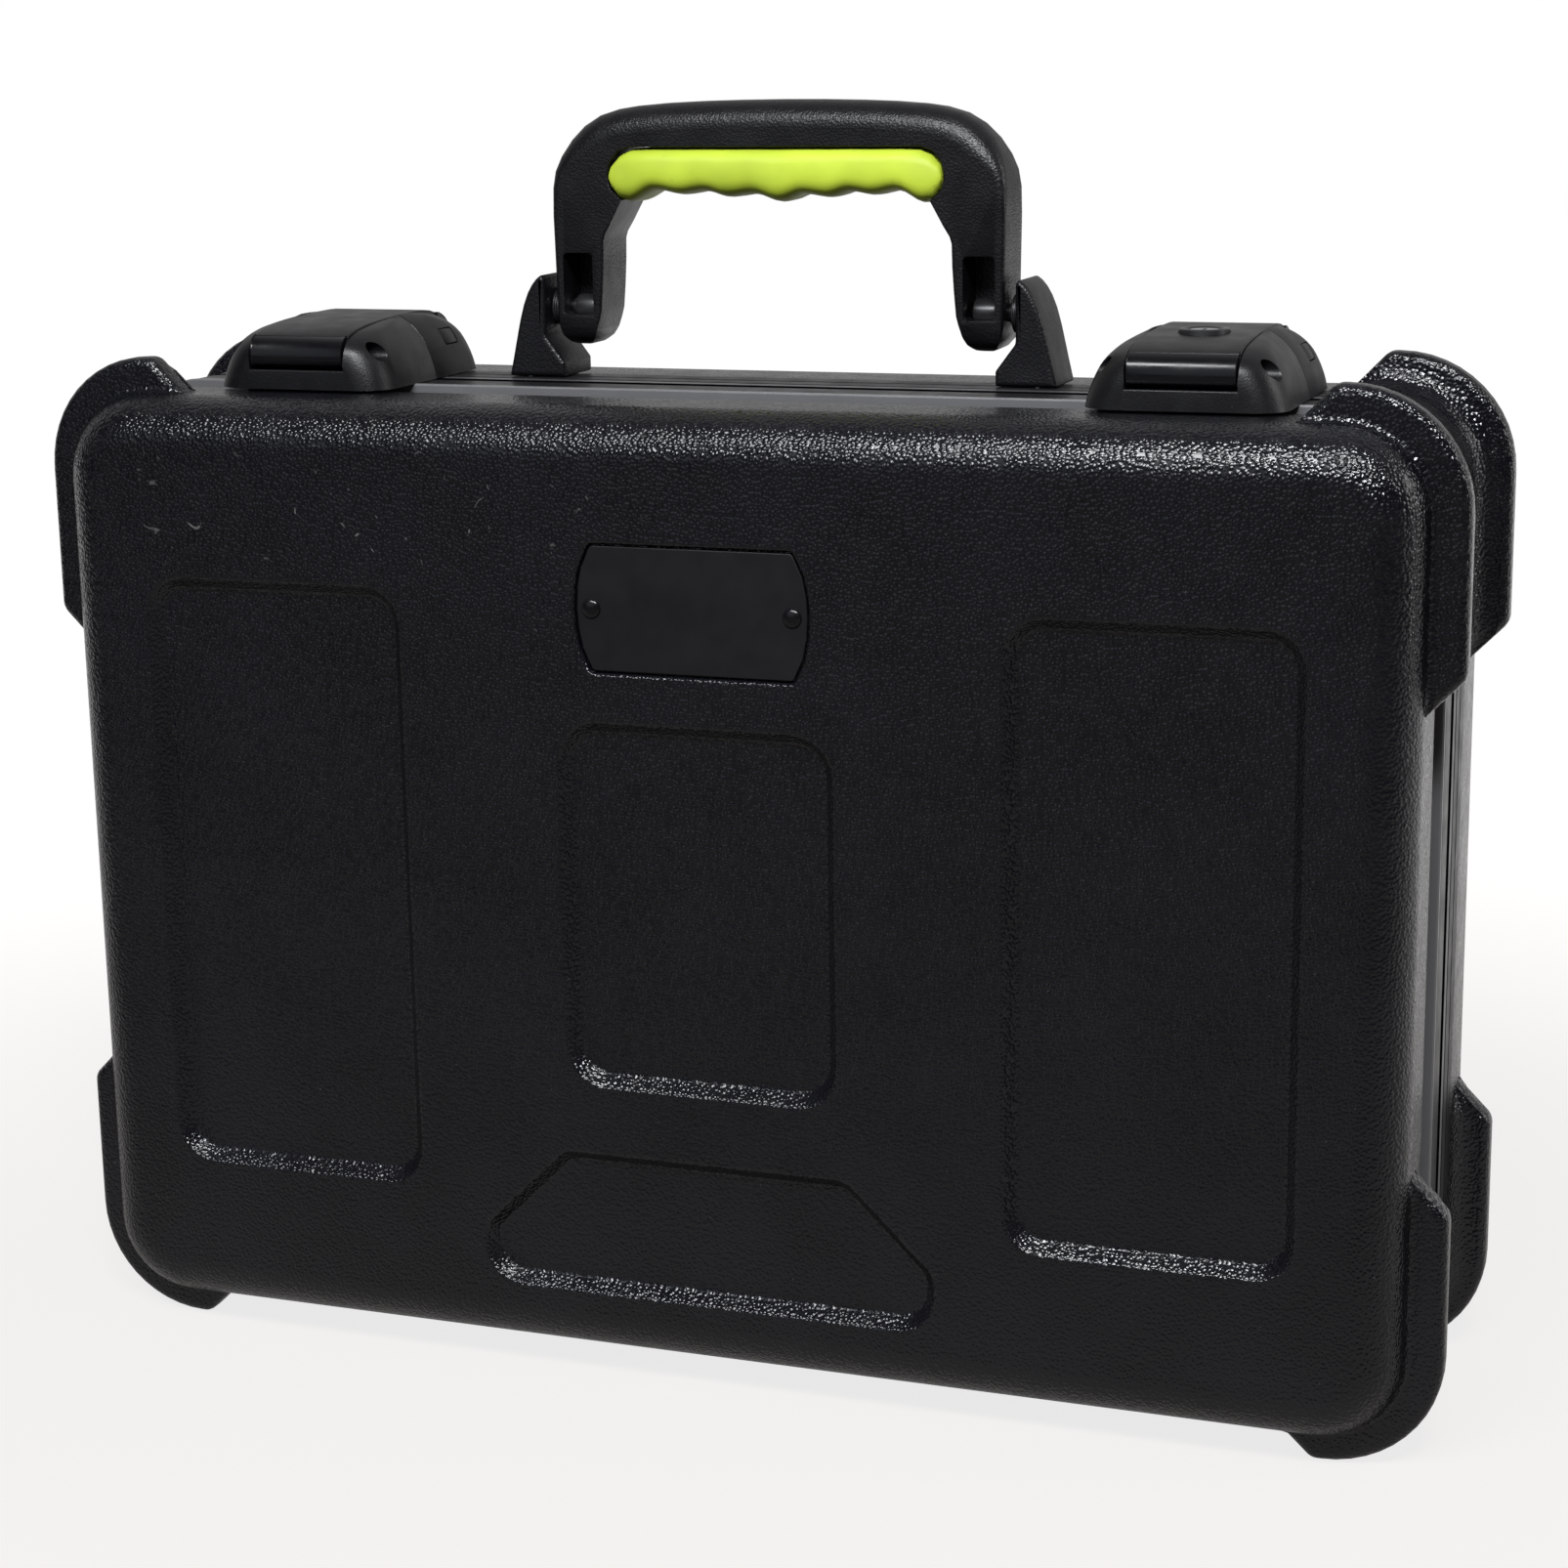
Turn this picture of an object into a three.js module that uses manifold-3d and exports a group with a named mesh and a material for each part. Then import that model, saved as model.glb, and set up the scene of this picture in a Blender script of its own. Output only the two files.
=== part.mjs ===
// A microphone case standing upright on its corner bumpers, with the carrying handle up.
// Millimetres. +Z is up, X runs along the width, the lid faces -Y and the base faces +Y.
// The origin is on the ground under the middle of the case; the lid meets the base at y = 0.
import * as THREE from 'three';
import { mergeVertices } from 'three/addons/utils/BufferGeometryUtils.js';
import Module from 'manifold-3d';

const GAP = 0.3; // clearance between pieces that are seated on each other
const BORE_GAP = 0.25; // clearance of a pin in its bore
const PASS = 1; // how far a cutter runs past the surface it cuts
const HALF = 0.5;
const QUARTER = 0.25;

// Shells and their corner bumpers, which are flat flanges that follow each corner.
const SHELL_HALF_WIDTH = 228.2;
const SHELL_HEIGHT = 320;
const SHELL_RIM = 28.5; // distance of the rim from the meeting plane
const SHELL_DEPTH = 40.5; // from the rim to the outer face
const SHELL_CORNER_RADIUS = 28;
const SHELL_EDGE_RADIUS = 16;
const SHELL_WALL = 3;
const BUMPER_RISE = 10.7; // above the shell's top, and below its bottom
const BUMPER_PROUD = 11.8; // out from the shell's side
const BUMPER_RADIUS = 38;
const BUMPER_THICKNESS = 9.6;
const BUMPER_SET_BACK = 16.6; // behind the shell's outer face
const BUMPER_TOP_FLAT = 4; // flat run beyond the round corner, along the top and bottom
const BUMPER_SIDE_FLAT = 48; // flat run beyond the round corner, down the side
const BUMPER_SLOPE = 12; // how far each slope runs before it meets the shell

const SHELL_BOTTOM = BUMPER_RISE;
const SHELL_TOP = SHELL_BOTTOM + SHELL_HEIGHT;
const SHELL_FACE = SHELL_RIM + SHELL_DEPTH; // distance of the outer face from the meeting plane
const BUMPER_HALF_WIDTH = SHELL_HALF_WIDTH + BUMPER_PROUD;
const BUMPER_FAR = SHELL_FACE - BUMPER_SET_BACK;
const BUMPER_NEAR = BUMPER_FAR - BUMPER_THICKNESS;

// Sunk panels in the outer faces.
const PANEL_DEPTH = 4.5;
const PANEL_SLOPE = 4;
const PANEL_BACK = 3; // material left behind a panel
const TALL_PANEL_MARGIN = 32.5; // from the shell's side
const TALL_PANEL_WIDTH = 93.7;
const TALL_PANEL_RISE = 54.6; // above the shell's bottom
const TALL_PANEL_FALL = 59.5; // below the shell's top
const TALL_PANEL_RADIUS = 13;
const MIDDLE_PANEL_HALF = 47.1;
const MIDDLE_PANEL_RISE = 96.1;
const MIDDLE_PANEL_FALL = 100.3;
const MIDDLE_PANEL_RADIUS = 14;
const LOW_PANEL_HALF = 79;
const LOW_PANEL_RISE = 23.1;
const LOW_PANEL_HEIGHT = 49.7;
// Half outline of the low panel, as shares of its half width and height.
const LOW_PANEL_SHARES = [
  [0.84, 0], [0.91, 0.03], [0.975, 0.12], [1, 0.28], [0.99, 0.4], [0.94, 0.51],
  [0.66, 0.95], [0.6, 1],
];

const TALL_PANEL_OUTER = SHELL_HALF_WIDTH - TALL_PANEL_MARGIN;
const TALL_PANEL_INNER = TALL_PANEL_OUTER - TALL_PANEL_WIDTH;
const TALL_PANEL_BOTTOM = SHELL_BOTTOM + TALL_PANEL_RISE;
const TALL_PANEL_TOP = SHELL_TOP - TALL_PANEL_FALL;
const MIDDLE_PANEL_BOTTOM = SHELL_BOTTOM + MIDDLE_PANEL_RISE;
const MIDDLE_PANEL_TOP = SHELL_TOP - MIDDLE_PANEL_FALL;
const LOW_PANEL_BOTTOM = SHELL_BOTTOM + LOW_PANEL_RISE;
const LOW_PANEL_TOP = LOW_PANEL_BOTTOM + LOW_PANEL_HEIGHT;

// Bare name plate and its two rivets.
const PLATE_HALF_WIDTH = 39;
const PLATE_CORNER_SHARE = 0.87; // half width at the corners, as a share of the half width
const PLATE_FALL = 43; // below the shell's top
const PLATE_HEIGHT = 40.4;
const PLATE_THICKNESS = 1.2;
const PLATE_RECESS = 2.4;
const PLATE_MARGIN = 0.5;
const RIVET_MARGIN = 5; // from the plate's end to a rivet
const RIVET_HEAD_RADIUS = 2.7;
const RIVET_HEAD_HEIGHT = 0.75;
const RIVET_SHANK_RADIUS = 1.3;
const RIVET_SHANK_LENGTH = 4;

const PLATE_TOP = SHELL_TOP - PLATE_FALL;
const PLATE_BOTTOM = PLATE_TOP - PLATE_HEIGHT;
const RIVET_OFFSET = PLATE_HALF_WIDTH - RIVET_MARGIN;

// Metal edge bands around the rims.
const BAND_PROUD = 0.6;
const BAND_WALL = 1.7;
const BAND_TUCK = 7.5; // how far a band reaches in past the shell's rim
const BAND_EDGE = 0.7;
const GROOVE_WIDTH = 11; // dark groove between the lid's band and its shell
const BASE_LINE = 10;
const LID_LINE = 13;
const LINE_WIDTH = 1.2;
const LINE_DEPTH = 0.9;

const BAND_TUCK_INSET = SHELL_WALL + GAP;
const BAND_INSET = BAND_TUCK_INSET + BAND_WALL;
const BAND_TUCK_END = SHELL_RIM + BAND_TUCK;
const BASE_BAND_END = SHELL_RIM - GAP;
const LID_BAND_END = SHELL_RIM - GROOVE_WIDTH;
const LATCH_SEAT = SHELL_TOP + BAND_PROUD + GAP; // what stands on the case's top starts here

// Foam inside: a floor and a pocketed block in the base, a pad in the lid.
const FOAM_SPACE = 2; // between a band and the foam
const FOAM_CORNER_EASE = 1;
const FOAM_FLOOR_THICKNESS = 7.4;
const FOAM_BLOCK_NEAR = 18;
const LID_FOAM_NEAR = 30;
const POCKET_RADIUS = 12;
const POCKET_ROWS = 4;
const POCKET_END_WALL = 8.2; // foam beyond the outer end of a pocket
const POCKET_INNER_WALL = 12; // foam between a pocket and the well
const POCKET_EDGE_WALL = 19.5; // foam above the highest pocket and below the lowest
const POCKET_WALL = 17; // foam between one pocket and the next
const WELL_WIDTH = 34;
const WELL_EDGE_WALL = 22;
const WELL_RADIUS = 10;

const FOAM_INSET = BAND_INSET + FOAM_SPACE;
const FOAM_CORNER_RADIUS = SHELL_CORNER_RADIUS - BAND_INSET - FOAM_CORNER_EASE;
const FOAM_HALF_WIDTH = SHELL_HALF_WIDTH - FOAM_INSET;
const FOAM_HEIGHT = SHELL_HEIGHT - FOAM_INSET - FOAM_INSET;
const POCKET_INNER = WELL_WIDTH * HALF + POCKET_INNER_WALL;
const POCKET_OUTER = FOAM_HALF_WIDTH - POCKET_END_WALL;
const POCKET_WIDTH = (FOAM_HEIGHT - POCKET_EDGE_WALL - POCKET_EDGE_WALL
  + POCKET_WALL) / POCKET_ROWS - POCKET_WALL;
const POCKET_PITCH = POCKET_WIDTH + POCKET_WALL;
const WELL_HEIGHT = FOAM_HEIGHT - WELL_EDGE_WALL - WELL_EDGE_WALL;

// Handle: a grip in an arched frame that turns on two pins between two brackets.
const HANDLE_MIDDLE = 25; // distance of the handle's middle plane behind the meeting plane
const HANDLE_THICKNESS = 22;
const HANDLE_AXIS_RISE = 22.9; // above the brackets' seat
const GRIP_HALF_LENGTH = 58.2;
const GRIP_HEIGHT = 16.9;
const GRIP_DEPTH = 28.5;
const GRIP_RISE = 36.7; // from the pins' axis to the underside of the grip
const ARCH_THICKNESS = 15.5; // of the frame above the grip
const LEG_SPAN = 21.4; // from the end of the grip to the outside of the leg
const LEG_SIDE = 3.6; // wall outside the leg's window
const LEG_INNER = 4; // wall inside the leg's window
const FRAME_DROP = 12.4;
const FRAME_BEVEL = 3;
const WINDOW_WIDTH = 10.8;
const WINDOW_FALL = 2; // below the pins' axis
const WINDOW_HEIGHT = 21;
const WINDOW_DEPTH = 15;
const BARREL_RADIUS = 4.5;
const BARREL_END_GAP = 1.1;
const HANDLE_PIN_RADIUS = 3;
const HANDLE_PIN_ENTRY = 5.5; // how far a pin reaches into its bracket
const COLLAR_RADIUS = 6.5;
const COLLAR_GAP = 0.4;
const BRACKET_CLEARANCE = 3.4; // from the frame to a bracket
const BRACKET_WIDTH = 14;
const BRACKET_FOOT_RUN = 6.8; // how far the foot reaches in under the leg
const BRACKET_RISE = 34.8;
const BRACKET_DEPTH = 24;
const BRACKET_SCREW_EDGE = 4;
const BRACKET_SCREW_SPREAD = 8;
// Half outline of the frame: the outer arch as shares of its half width and rise, the foot as shares
// of the leg's width and the drop, and the inside as shares of the grip's half length and its rise.
const FRAME_OUTER_SHARES = [
  [0, 1], [0.24, 0.998], [0.47, 0.991], [0.65, 0.973], [0.76, 0.945], [0.855, 0.9],
  [0.93, 0.83], [0.983, 0.74], [1, 0.63], [0.993, 0.11], [0.99, -0.09],
];
const FRAME_FOOT_SHARES = [[0.04, -0.6], [0.12, -0.86], [0.28, -1], [0.56, -1], [0.78, -0.7], [0.91, -0.16]];
const KNEE_SHARE = 0.64;
const FRAME_SHOULDER_SHARES = [[0.93, 0.997]];
// The grip's bed in the frame, as shares of the grip's half length and height.
const GRIP_BED_SHARES = [[0.993, 0.216], [1.011, 0.462], [0.993, 0.735], [0.9385, 0.94], [0.87, 1.016]];
// Along the grip: shares of the half length, of the height for top and bottom, and of the depth.
const GRIP_SHARES = [
  [1, 0.56, 0.44, 0.3], [0.98, 0.74, 0.22, 0.58], [0.935, 0.9, 0.05, 0.76], [0.87, 1, 0, 0.82],
  [0.8, 1, 0.14, 0.94], [0.71, 1, 0.21, 1], [0.575, 1, 0.13, 1], [0.44, 1, 0.18, 1],
  [0.3, 1, 0.09, 1], [0.15, 1, 0.14, 1], [0, 1, 0, 1],
];
const BRACKET_HIP_SHARES = [[0, 0.12], [1, 0.29]]; // across the foot, up the bracket
const BRACKET_FIN_SHARES = [
  [0, 0.88], [0.1, 0.965], [0.25, 1], [0.45, 1], [0.55, 0.945], [0.62, 0.8], [0.71, 0.55],
  [0.84, 0.29], [1, 0],
];

const AXIS_HEIGHT = LATCH_SEAT + HANDLE_AXIS_RISE;
const FRAME_HALF = GRIP_HALF_LENGTH + LEG_SPAN;
const FRAME_RISE = GRIP_RISE + GRIP_HEIGHT + ARCH_THICKNESS;
const LEG_WIDTH = LEG_SIDE + WINDOW_WIDTH + LEG_INNER;
const GRIP_BOTTOM = AXIS_HEIGHT + GRIP_RISE;
const GRIP_TOP = GRIP_BOTTOM + GRIP_HEIGHT;
const WINDOW_OUTER = FRAME_HALF - LEG_SIDE;
const WINDOW_INNER = WINDOW_OUTER - WINDOW_WIDTH;
const WINDOW_BOTTOM = AXIS_HEIGHT - WINDOW_FALL;
const WINDOW_TOP = WINDOW_BOTTOM + WINDOW_HEIGHT;
const BARREL_INNER = WINDOW_INNER + BARREL_END_GAP;
const BARREL_OUTER = WINDOW_OUTER - BARREL_END_GAP;
const BRACKET_INNER = FRAME_HALF + BRACKET_CLEARANCE;
const BRACKET_OUTER = BRACKET_INNER + BRACKET_WIDTH;
const BRACKET_FOOT = BRACKET_INNER - BRACKET_FOOT_RUN;
const BRACKET_SCREW_OFFSET = BRACKET_INNER + BRACKET_WIDTH * HALF;
const HANDLE_PIN_END = BRACKET_INNER + HANDLE_PIN_ENTRY;

// Latches: a dome over the bands, split at the meeting plane.
const LATCH_PLACE_SHARE = 0.5145; // where a latch's middle lies, from a handle bracket to the round corner
const LATCH_HALF_BASE = 32;
const LATCH_RISE = 21.4;
const LATCH_REACH = 41.5;
const LATCH_PLAN_RADIUS = 12;
const LATCH_FLOOR = 1.5;
const LATCH_WALL = 1.7;
const SILL_RISE = 6.4; // the front wall, above the latch's seat
const SLOT_SHARE = 0.556; // width of the lever's slot, as a share of the latch's width
const LEVER_AXIS_INSET = 8.5; // from the latch's front to the lever's pin
const LEVER_AXIS_RISE = 12.3;
const LEVER_END_INSET = 11; // from the latch's back to the end of the lever
const LEVER_THICKNESS = 4.6;
const LIP_RISE = 1.7; // the lever's front edge, above its pin
const DRUM_SINK = 2.4; // how far the lever's drum stays below the latch's top
const LEVER_PIN_RADIUS = 2;
const LEVER_PIN_ENTRY = 2.7;
const CHEEK_HOLE_RADIUS = 3.2;
const TONGUE_THICKNESS = 2;
const TONGUE_DROP = 9;
const TONGUE_LENGTH = 12;
const TONGUE_CLEARANCE = 1.1; // from the spring's stop to the tongue
const BOLT_HOLE_RADIUS = 2;
const BUTTON_MIDDLE = 19; // distance behind the meeting plane
const BUTTON_RISE = 12.7;
const BUTTON_HALF_LENGTH = 5;
const BUTTON_HALF_HEIGHT = 2.6;
const BUTTON_ENTRY = 1.8; // how far the button reaches into the slot
const BUTTON_THICKNESS = 6.9;
const BOLT_RADIUS = 1.3;
const BOLT_LENGTH = 4;
const SPRING_WIRE = 0.5;
const SPRING_RADIUS = 2.2;
const SPRING_LENGTH = 4.6;
const SPRING_ROOM = 1.5; // room left for the button's travel
const SPRING_TURNS = 3;
const STOP_THICKNESS = 1.5;
const LOCK_BACK = 8; // distance of the lock in front of the meeting plane
const LOCK_RADIUS = 8;
const LOCK_PLUG_RADIUS = 5;
const LOCK_DEPTH = 12;
const LOCK_PROUD = 0.9;
const KEYWAY_HALF_LENGTH = 3;
const KEYWAY_HALF_WIDTH = 0.6;
const KEYWAY_DEPTH = 5;
const CAM_LENGTH = 13;
const CAM_HALF_WIDTH = 3;
const CAM_THICKNESS = 1.8;
// The dome seen from the front and from the side, as shares of its half size and its rise.
const LATCH_SIDE_SHARES = [
  [1, 0], [0.985, 0.125], [0.96, 0.26], [0.888, 0.54], [0.766, 0.82], [0.66, 0.96], [0.575, 1],
];
const LATCH_END_SHARES = [
  [1, 0], [1, 0.3], [0.987, 0.6], [0.963, 0.7], [0.91, 0.79], [0.81, 0.865], [0.65, 0.92], [0.48, 0.955],
  [0.26, 0.985], [0.1, 1],
];

const LATCH_OFFSET = BRACKET_OUTER
  + LATCH_PLACE_SHARE * (SHELL_HALF_WIDTH - SHELL_CORNER_RADIUS - BRACKET_OUTER);
const LATCH_TOP = LATCH_SEAT + LATCH_RISE;
const WINDOW_SILL = LATCH_SEAT + SILL_RISE;
const SLOT_HALF = SLOT_SHARE * LATCH_HALF_BASE;
const LEVER_HALF = SLOT_HALF - GAP;
const LEVER_AXIS_BACK = LATCH_REACH - LEVER_AXIS_INSET; // distance of the pin in front of the meeting plane
const LEVER_AXIS_HEIGHT = LATCH_SEAT + LEVER_AXIS_RISE;
const LEVER_END = LATCH_REACH - LEVER_END_INSET;
const LEVER_LIP = LEVER_AXIS_HEIGHT + LIP_RISE;
const DRUM_RADIUS = LATCH_RISE - LEVER_AXIS_RISE - DRUM_SINK;
const LEVER_PIN_HALF = SLOT_HALF + LEVER_PIN_ENTRY;
const BUTTON_HEIGHT = LATCH_SEAT + BUTTON_RISE;
const BUTTON_INNER = SLOT_HALF - BUTTON_ENTRY;
const BUTTON_OUTER = BUTTON_INNER + BUTTON_THICKNESS;
const SPRING_SEAT = BUTTON_INNER - SPRING_LENGTH - GAP - SPRING_ROOM;
const TONGUE_OFFSET = SPRING_SEAT - STOP_THICKNESS - TONGUE_CLEARANCE;

// Hinges under the case.
const HINGE_MARGIN = 118.2; // from the shell's side to the hinge's middle
const HINGE_HALF_LENGTH = 36;
const HINGE_DROP = 4.8; // of the axis below the shell's bottom
const KNUCKLE_RADIUS = 3.4;
const KNUCKLE_CLEARANCE = 1.6;
const KNUCKLE_COUNT = 5;
const HINGE_PIN_RADIUS = 1.6;
const LEAF_THICKNESS = 1.6;
const LEAF_REACH = 24;
const HINGE_RIVET_END = 10; // from the leaf's end to a rivet
const HINGE_RIVET_EDGE = 7; // from the leaf's long edge to a rivet

const HINGE_OFFSET = SHELL_HALF_WIDTH - HINGE_MARGIN;
const HINGE_AXIS_HEIGHT = SHELL_BOTTOM - HINGE_DROP;
const LEAF_RISE_START = KNUCKLE_RADIUS + KNUCKLE_CLEARANCE;
const HINGE_RIVET_SPREAD = HINGE_HALF_LENGTH - HINGE_RIVET_END;
const HINGE_RIVET_OUT = LEAF_REACH - HINGE_RIVET_EDGE;

// Screws put in from inside.
const SCREW_HEAD_RADIUS = 3;
const SCREW_HEAD_HEIGHT = 1.4;
const SCREW_SHANK_RADIUS = 1.5;
const SCREW_LENGTH = 9;
const BRACKET_SCREW_LENGTH = 14;
const LATCH_SCREW_EDGE = 6.3; // from the slot's side to a screw
const BASE_LATCH_SCREW = 20; // distance behind the meeting plane
const LID_LATCH_SCREW = 9; // distance in front of the meeting plane

const LATCH_SCREW_SPREAD = SLOT_HALF - LATCH_SCREW_EDGE;

// Fineness.
const CORNER_STEPS = 4;
const EDGE_STEPS = 3;
const BEVEL_STEPS = 2;
const POCKET_STEPS = 2;
const BOW_STEPS = 6;
const LEG_STEPS = 10;
const ROUND_SIDES = 18;
const PIN_SIDES = 12;
const SCREW_SIDES = 8;
const WIRE_SIDES = 5;
const WIRE_STEPS = 8; // in each turn of a spring
const SECTION_POINTS = 14;
const SECTION_POWER = 0.62; // squareness of the grip's cross-section
const MERGE_TOLERANCE = 1e-4;

const BLACK_SHELL = { color: 0x1b1b1d, roughness: 0.55, metalness: 0 };
const BLACK_METAL = { color: 0x202022, roughness: 0.4, metalness: 0.8 };
const BLACK_PLASTIC = { color: 0x1d1d1f, roughness: 0.45, metalness: 0 };
const GLOSS_BLACK = { color: 0x0d0d0e, roughness: 0.12, metalness: 0 };
const LIME_RUBBER = { color: 0xaad728, roughness: 0.5, metalness: 0 };
const GREY_FOAM = { color: 0x2a2a2c, roughness: 0.95, metalness: 0 };
const STEEL = { color: 0xb9bcc0, roughness: 0.3, metalness: 1 };

const wasm = await Module();
wasm.setup();

const group = new THREE.Group();
group.name = 'microphone_case';

// Turns a geometry into a solid, with its faces outward.
function solid(geometry) {
  const clean = geometry.clone();
  clean.deleteAttribute('normal');
  clean.deleteAttribute('uv');
  const merged = mergeVertices(clean, MERGE_TOLERANCE);
  return new wasm.Manifold(new wasm.Mesh({
    numProp: 3,
    vertProperties: new Float32Array(merged.attributes.position.array),
    triVerts: new Uint32Array(merged.index.array),
  }));
}

// A group inside the case, moved along the width: its pieces are shaped about its own middle.
function groupAt(x) {
  const inner = new THREE.Group();
  inner.position.set(x, 0, 0);
  group.add(inner);
  return inner;
}

// Adds one named piece to the case, or to a group inside it.
function piece(name, body, look, holder = group) {
  const mesh = body.getMesh();
  const geometry = new THREE.BufferGeometry();
  geometry.setAttribute('position', new THREE.BufferAttribute(new Float32Array(mesh.vertProperties), 3));
  geometry.setIndex(new THREE.BufferAttribute(new Uint32Array(mesh.triVerts), 1));
  geometry.computeVertexNormals();
  const object = new THREE.Mesh(geometry, new THREE.MeshStandardMaterial(look));
  object.name = name;
  holder.add(object);
}

function addAll(parts) {
  return parts.reduce((whole, part) => whole.add(part));
}

function cutAll(body, tools) {
  return tools.reduce((left, tool) => left.subtract(tool), body);
}

// A closed outline pulled straight along an axis, between two positions on it.
// The outline is given as [x, z] for axis y, [y, z] for axis x and [x, y] for axis z.
function prism(points, axis, from, to, bevel = 0) {
  const shape = new THREE.Shape(points.map(([a, b]) => new THREE.Vector2(a, b)));
  const geometry = new THREE.ExtrudeGeometry(shape, {
    depth: to - from - bevel - bevel,
    bevelEnabled: bevel > 0,
    bevelThickness: bevel,
    bevelSize: bevel,
    bevelOffset: -bevel,
    bevelSegments: BEVEL_STEPS,
  });
  geometry.translate(0, 0, bevel);
  if (axis === 'y') geometry.rotateX(Math.PI / 2).translate(0, to, 0);
  if (axis === 'x') {
    const turn = new THREE.Matrix4().makeBasis(
      new THREE.Vector3(0, 1, 0), new THREE.Vector3(0, 0, 1), new THREE.Vector3(1, 0, 0));
    geometry.applyMatrix4(turn).translate(from, 0, 0);
  }
  if (axis === 'z') geometry.translate(0, 0, from);
  return solid(geometry);
}

function block(x0, x1, y0, y1, z0, z1) {
  return prism([[x0, z0], [x1, z0], [x1, z1], [x0, z1]], 'y', y0, y1);
}

function circle(a, b, radius, sides = ROUND_SIDES) {
  const points = [];
  for (let i = 0; i < sides; i += 1) {
    const angle = (2 * Math.PI * (i + HALF)) / sides;
    points.push([a + radius * Math.cos(angle), b + radius * Math.sin(angle)]);
  }
  return points;
}

// A rounded rectangle as a list of points, counter-clockwise.
function roundRect(a0, a1, b0, b1, radius, steps = CORNER_STEPS) {
  const middles = [[a1 - radius, b1 - radius], [a0 + radius, b1 - radius], [a0 + radius, b0 + radius],
    [a1 - radius, b0 + radius]];
  const points = [];
  middles.forEach(([a, b], corner) => {
    for (let i = 0; i <= steps; i += 1) {
      const angle = (Math.PI / 2) * (corner + i / steps);
      points.push([a + radius * Math.cos(angle), b + radius * Math.sin(angle)]);
    }
  });
  return points;
}

// The shell's outline seen from the front, moved inward by an inset.
function shellOutline(inset, radius = SHELL_CORNER_RADIUS - inset) {
  return roundRect(-SHELL_HALF_WIDTH + inset, SHELL_HALF_WIDTH - inset,
    SHELL_BOTTOM + inset, SHELL_TOP - inset, radius);
}

// Joins rings of equal point count into one closed body. Each ring is a list of [x, y, z].
// With "loop" the last ring joins the first, otherwise both ends are capped flat.
function loft(rings, loop = false) {
  const count = rings[0].length;
  const positions = rings.flat(2);
  const faces = [];
  const spans = loop ? rings.length : rings.length - 1;
  for (let r = 0; r < spans; r += 1) {
    const next = (r + 1) % rings.length;
    for (let i = 0; i < count; i += 1) {
      const j = (i + 1) % count;
      faces.push(r * count + i, r * count + j, next * count + j);
      faces.push(r * count + i, next * count + j, next * count + i);
    }
  }
  if (!loop) {
    const last = (rings.length - 1) * count;
    for (let i = 1; i < count - 1; i += 1) {
      faces.push(0, i + 1, i);
      faces.push(last, last + i, last + i + 1);
    }
  }
  const geometry = new THREE.BufferGeometry();
  geometry.setAttribute('position', new THREE.Float32BufferAttribute(positions, 3));
  geometry.setIndex(volume(positions, faces) < 0 ? flipped(faces) : faces);
  return solid(geometry);
}

function volume(positions, faces) {
  let total = 0;
  const corner = (i) => new THREE.Vector3(...positions.slice(3 * i, 3 * i + 3));
  for (let i = 0; i < faces.length; i += 3) {
    total += corner(faces[i]).dot(corner(faces[i + 1]).cross(corner(faces[i + 2])));
  }
  return total;
}

function flipped(faces) {
  const result = [];
  for (let i = 0; i < faces.length; i += 3) result.push(faces[i], faces[i + 2], faces[i + 1]);
  return result;
}

// Lifts an [x, z] outline to the plane at a distance from the meeting plane, on one side of it.
const raise = (outline, side, distance) => outline.map(([x, z]) => [x, side * distance, z]);

// Orders two distances on one side of the meeting plane as [lower y, higher y].
const span = (side, near, far) => (side > 0 ? [near, far] : [-far, -near]);

function sidePrism(outline, side, near, far) {
  const [low, high] = span(side, near, far);
  return prism(outline, 'y', low, high);
}

// A tray with rounded outer edges: from the rim to the face, at a given inset from the outline.
function trayBody(side, rim, face, inset) {
  const radius = SHELL_EDGE_RADIUS - inset;
  const rings = [raise(shellOutline(inset), side, rim)];
  for (let i = 0; i <= EDGE_STEPS; i += 1) {
    const angle = (Math.PI / 2) * (i / EDGE_STEPS);
    const sink = radius * (1 - Math.cos(angle));
    rings.push(raise(shellOutline(inset + sink), side, face - radius + radius * Math.sin(angle)));
  }
  return loft(rings);
}

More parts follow.
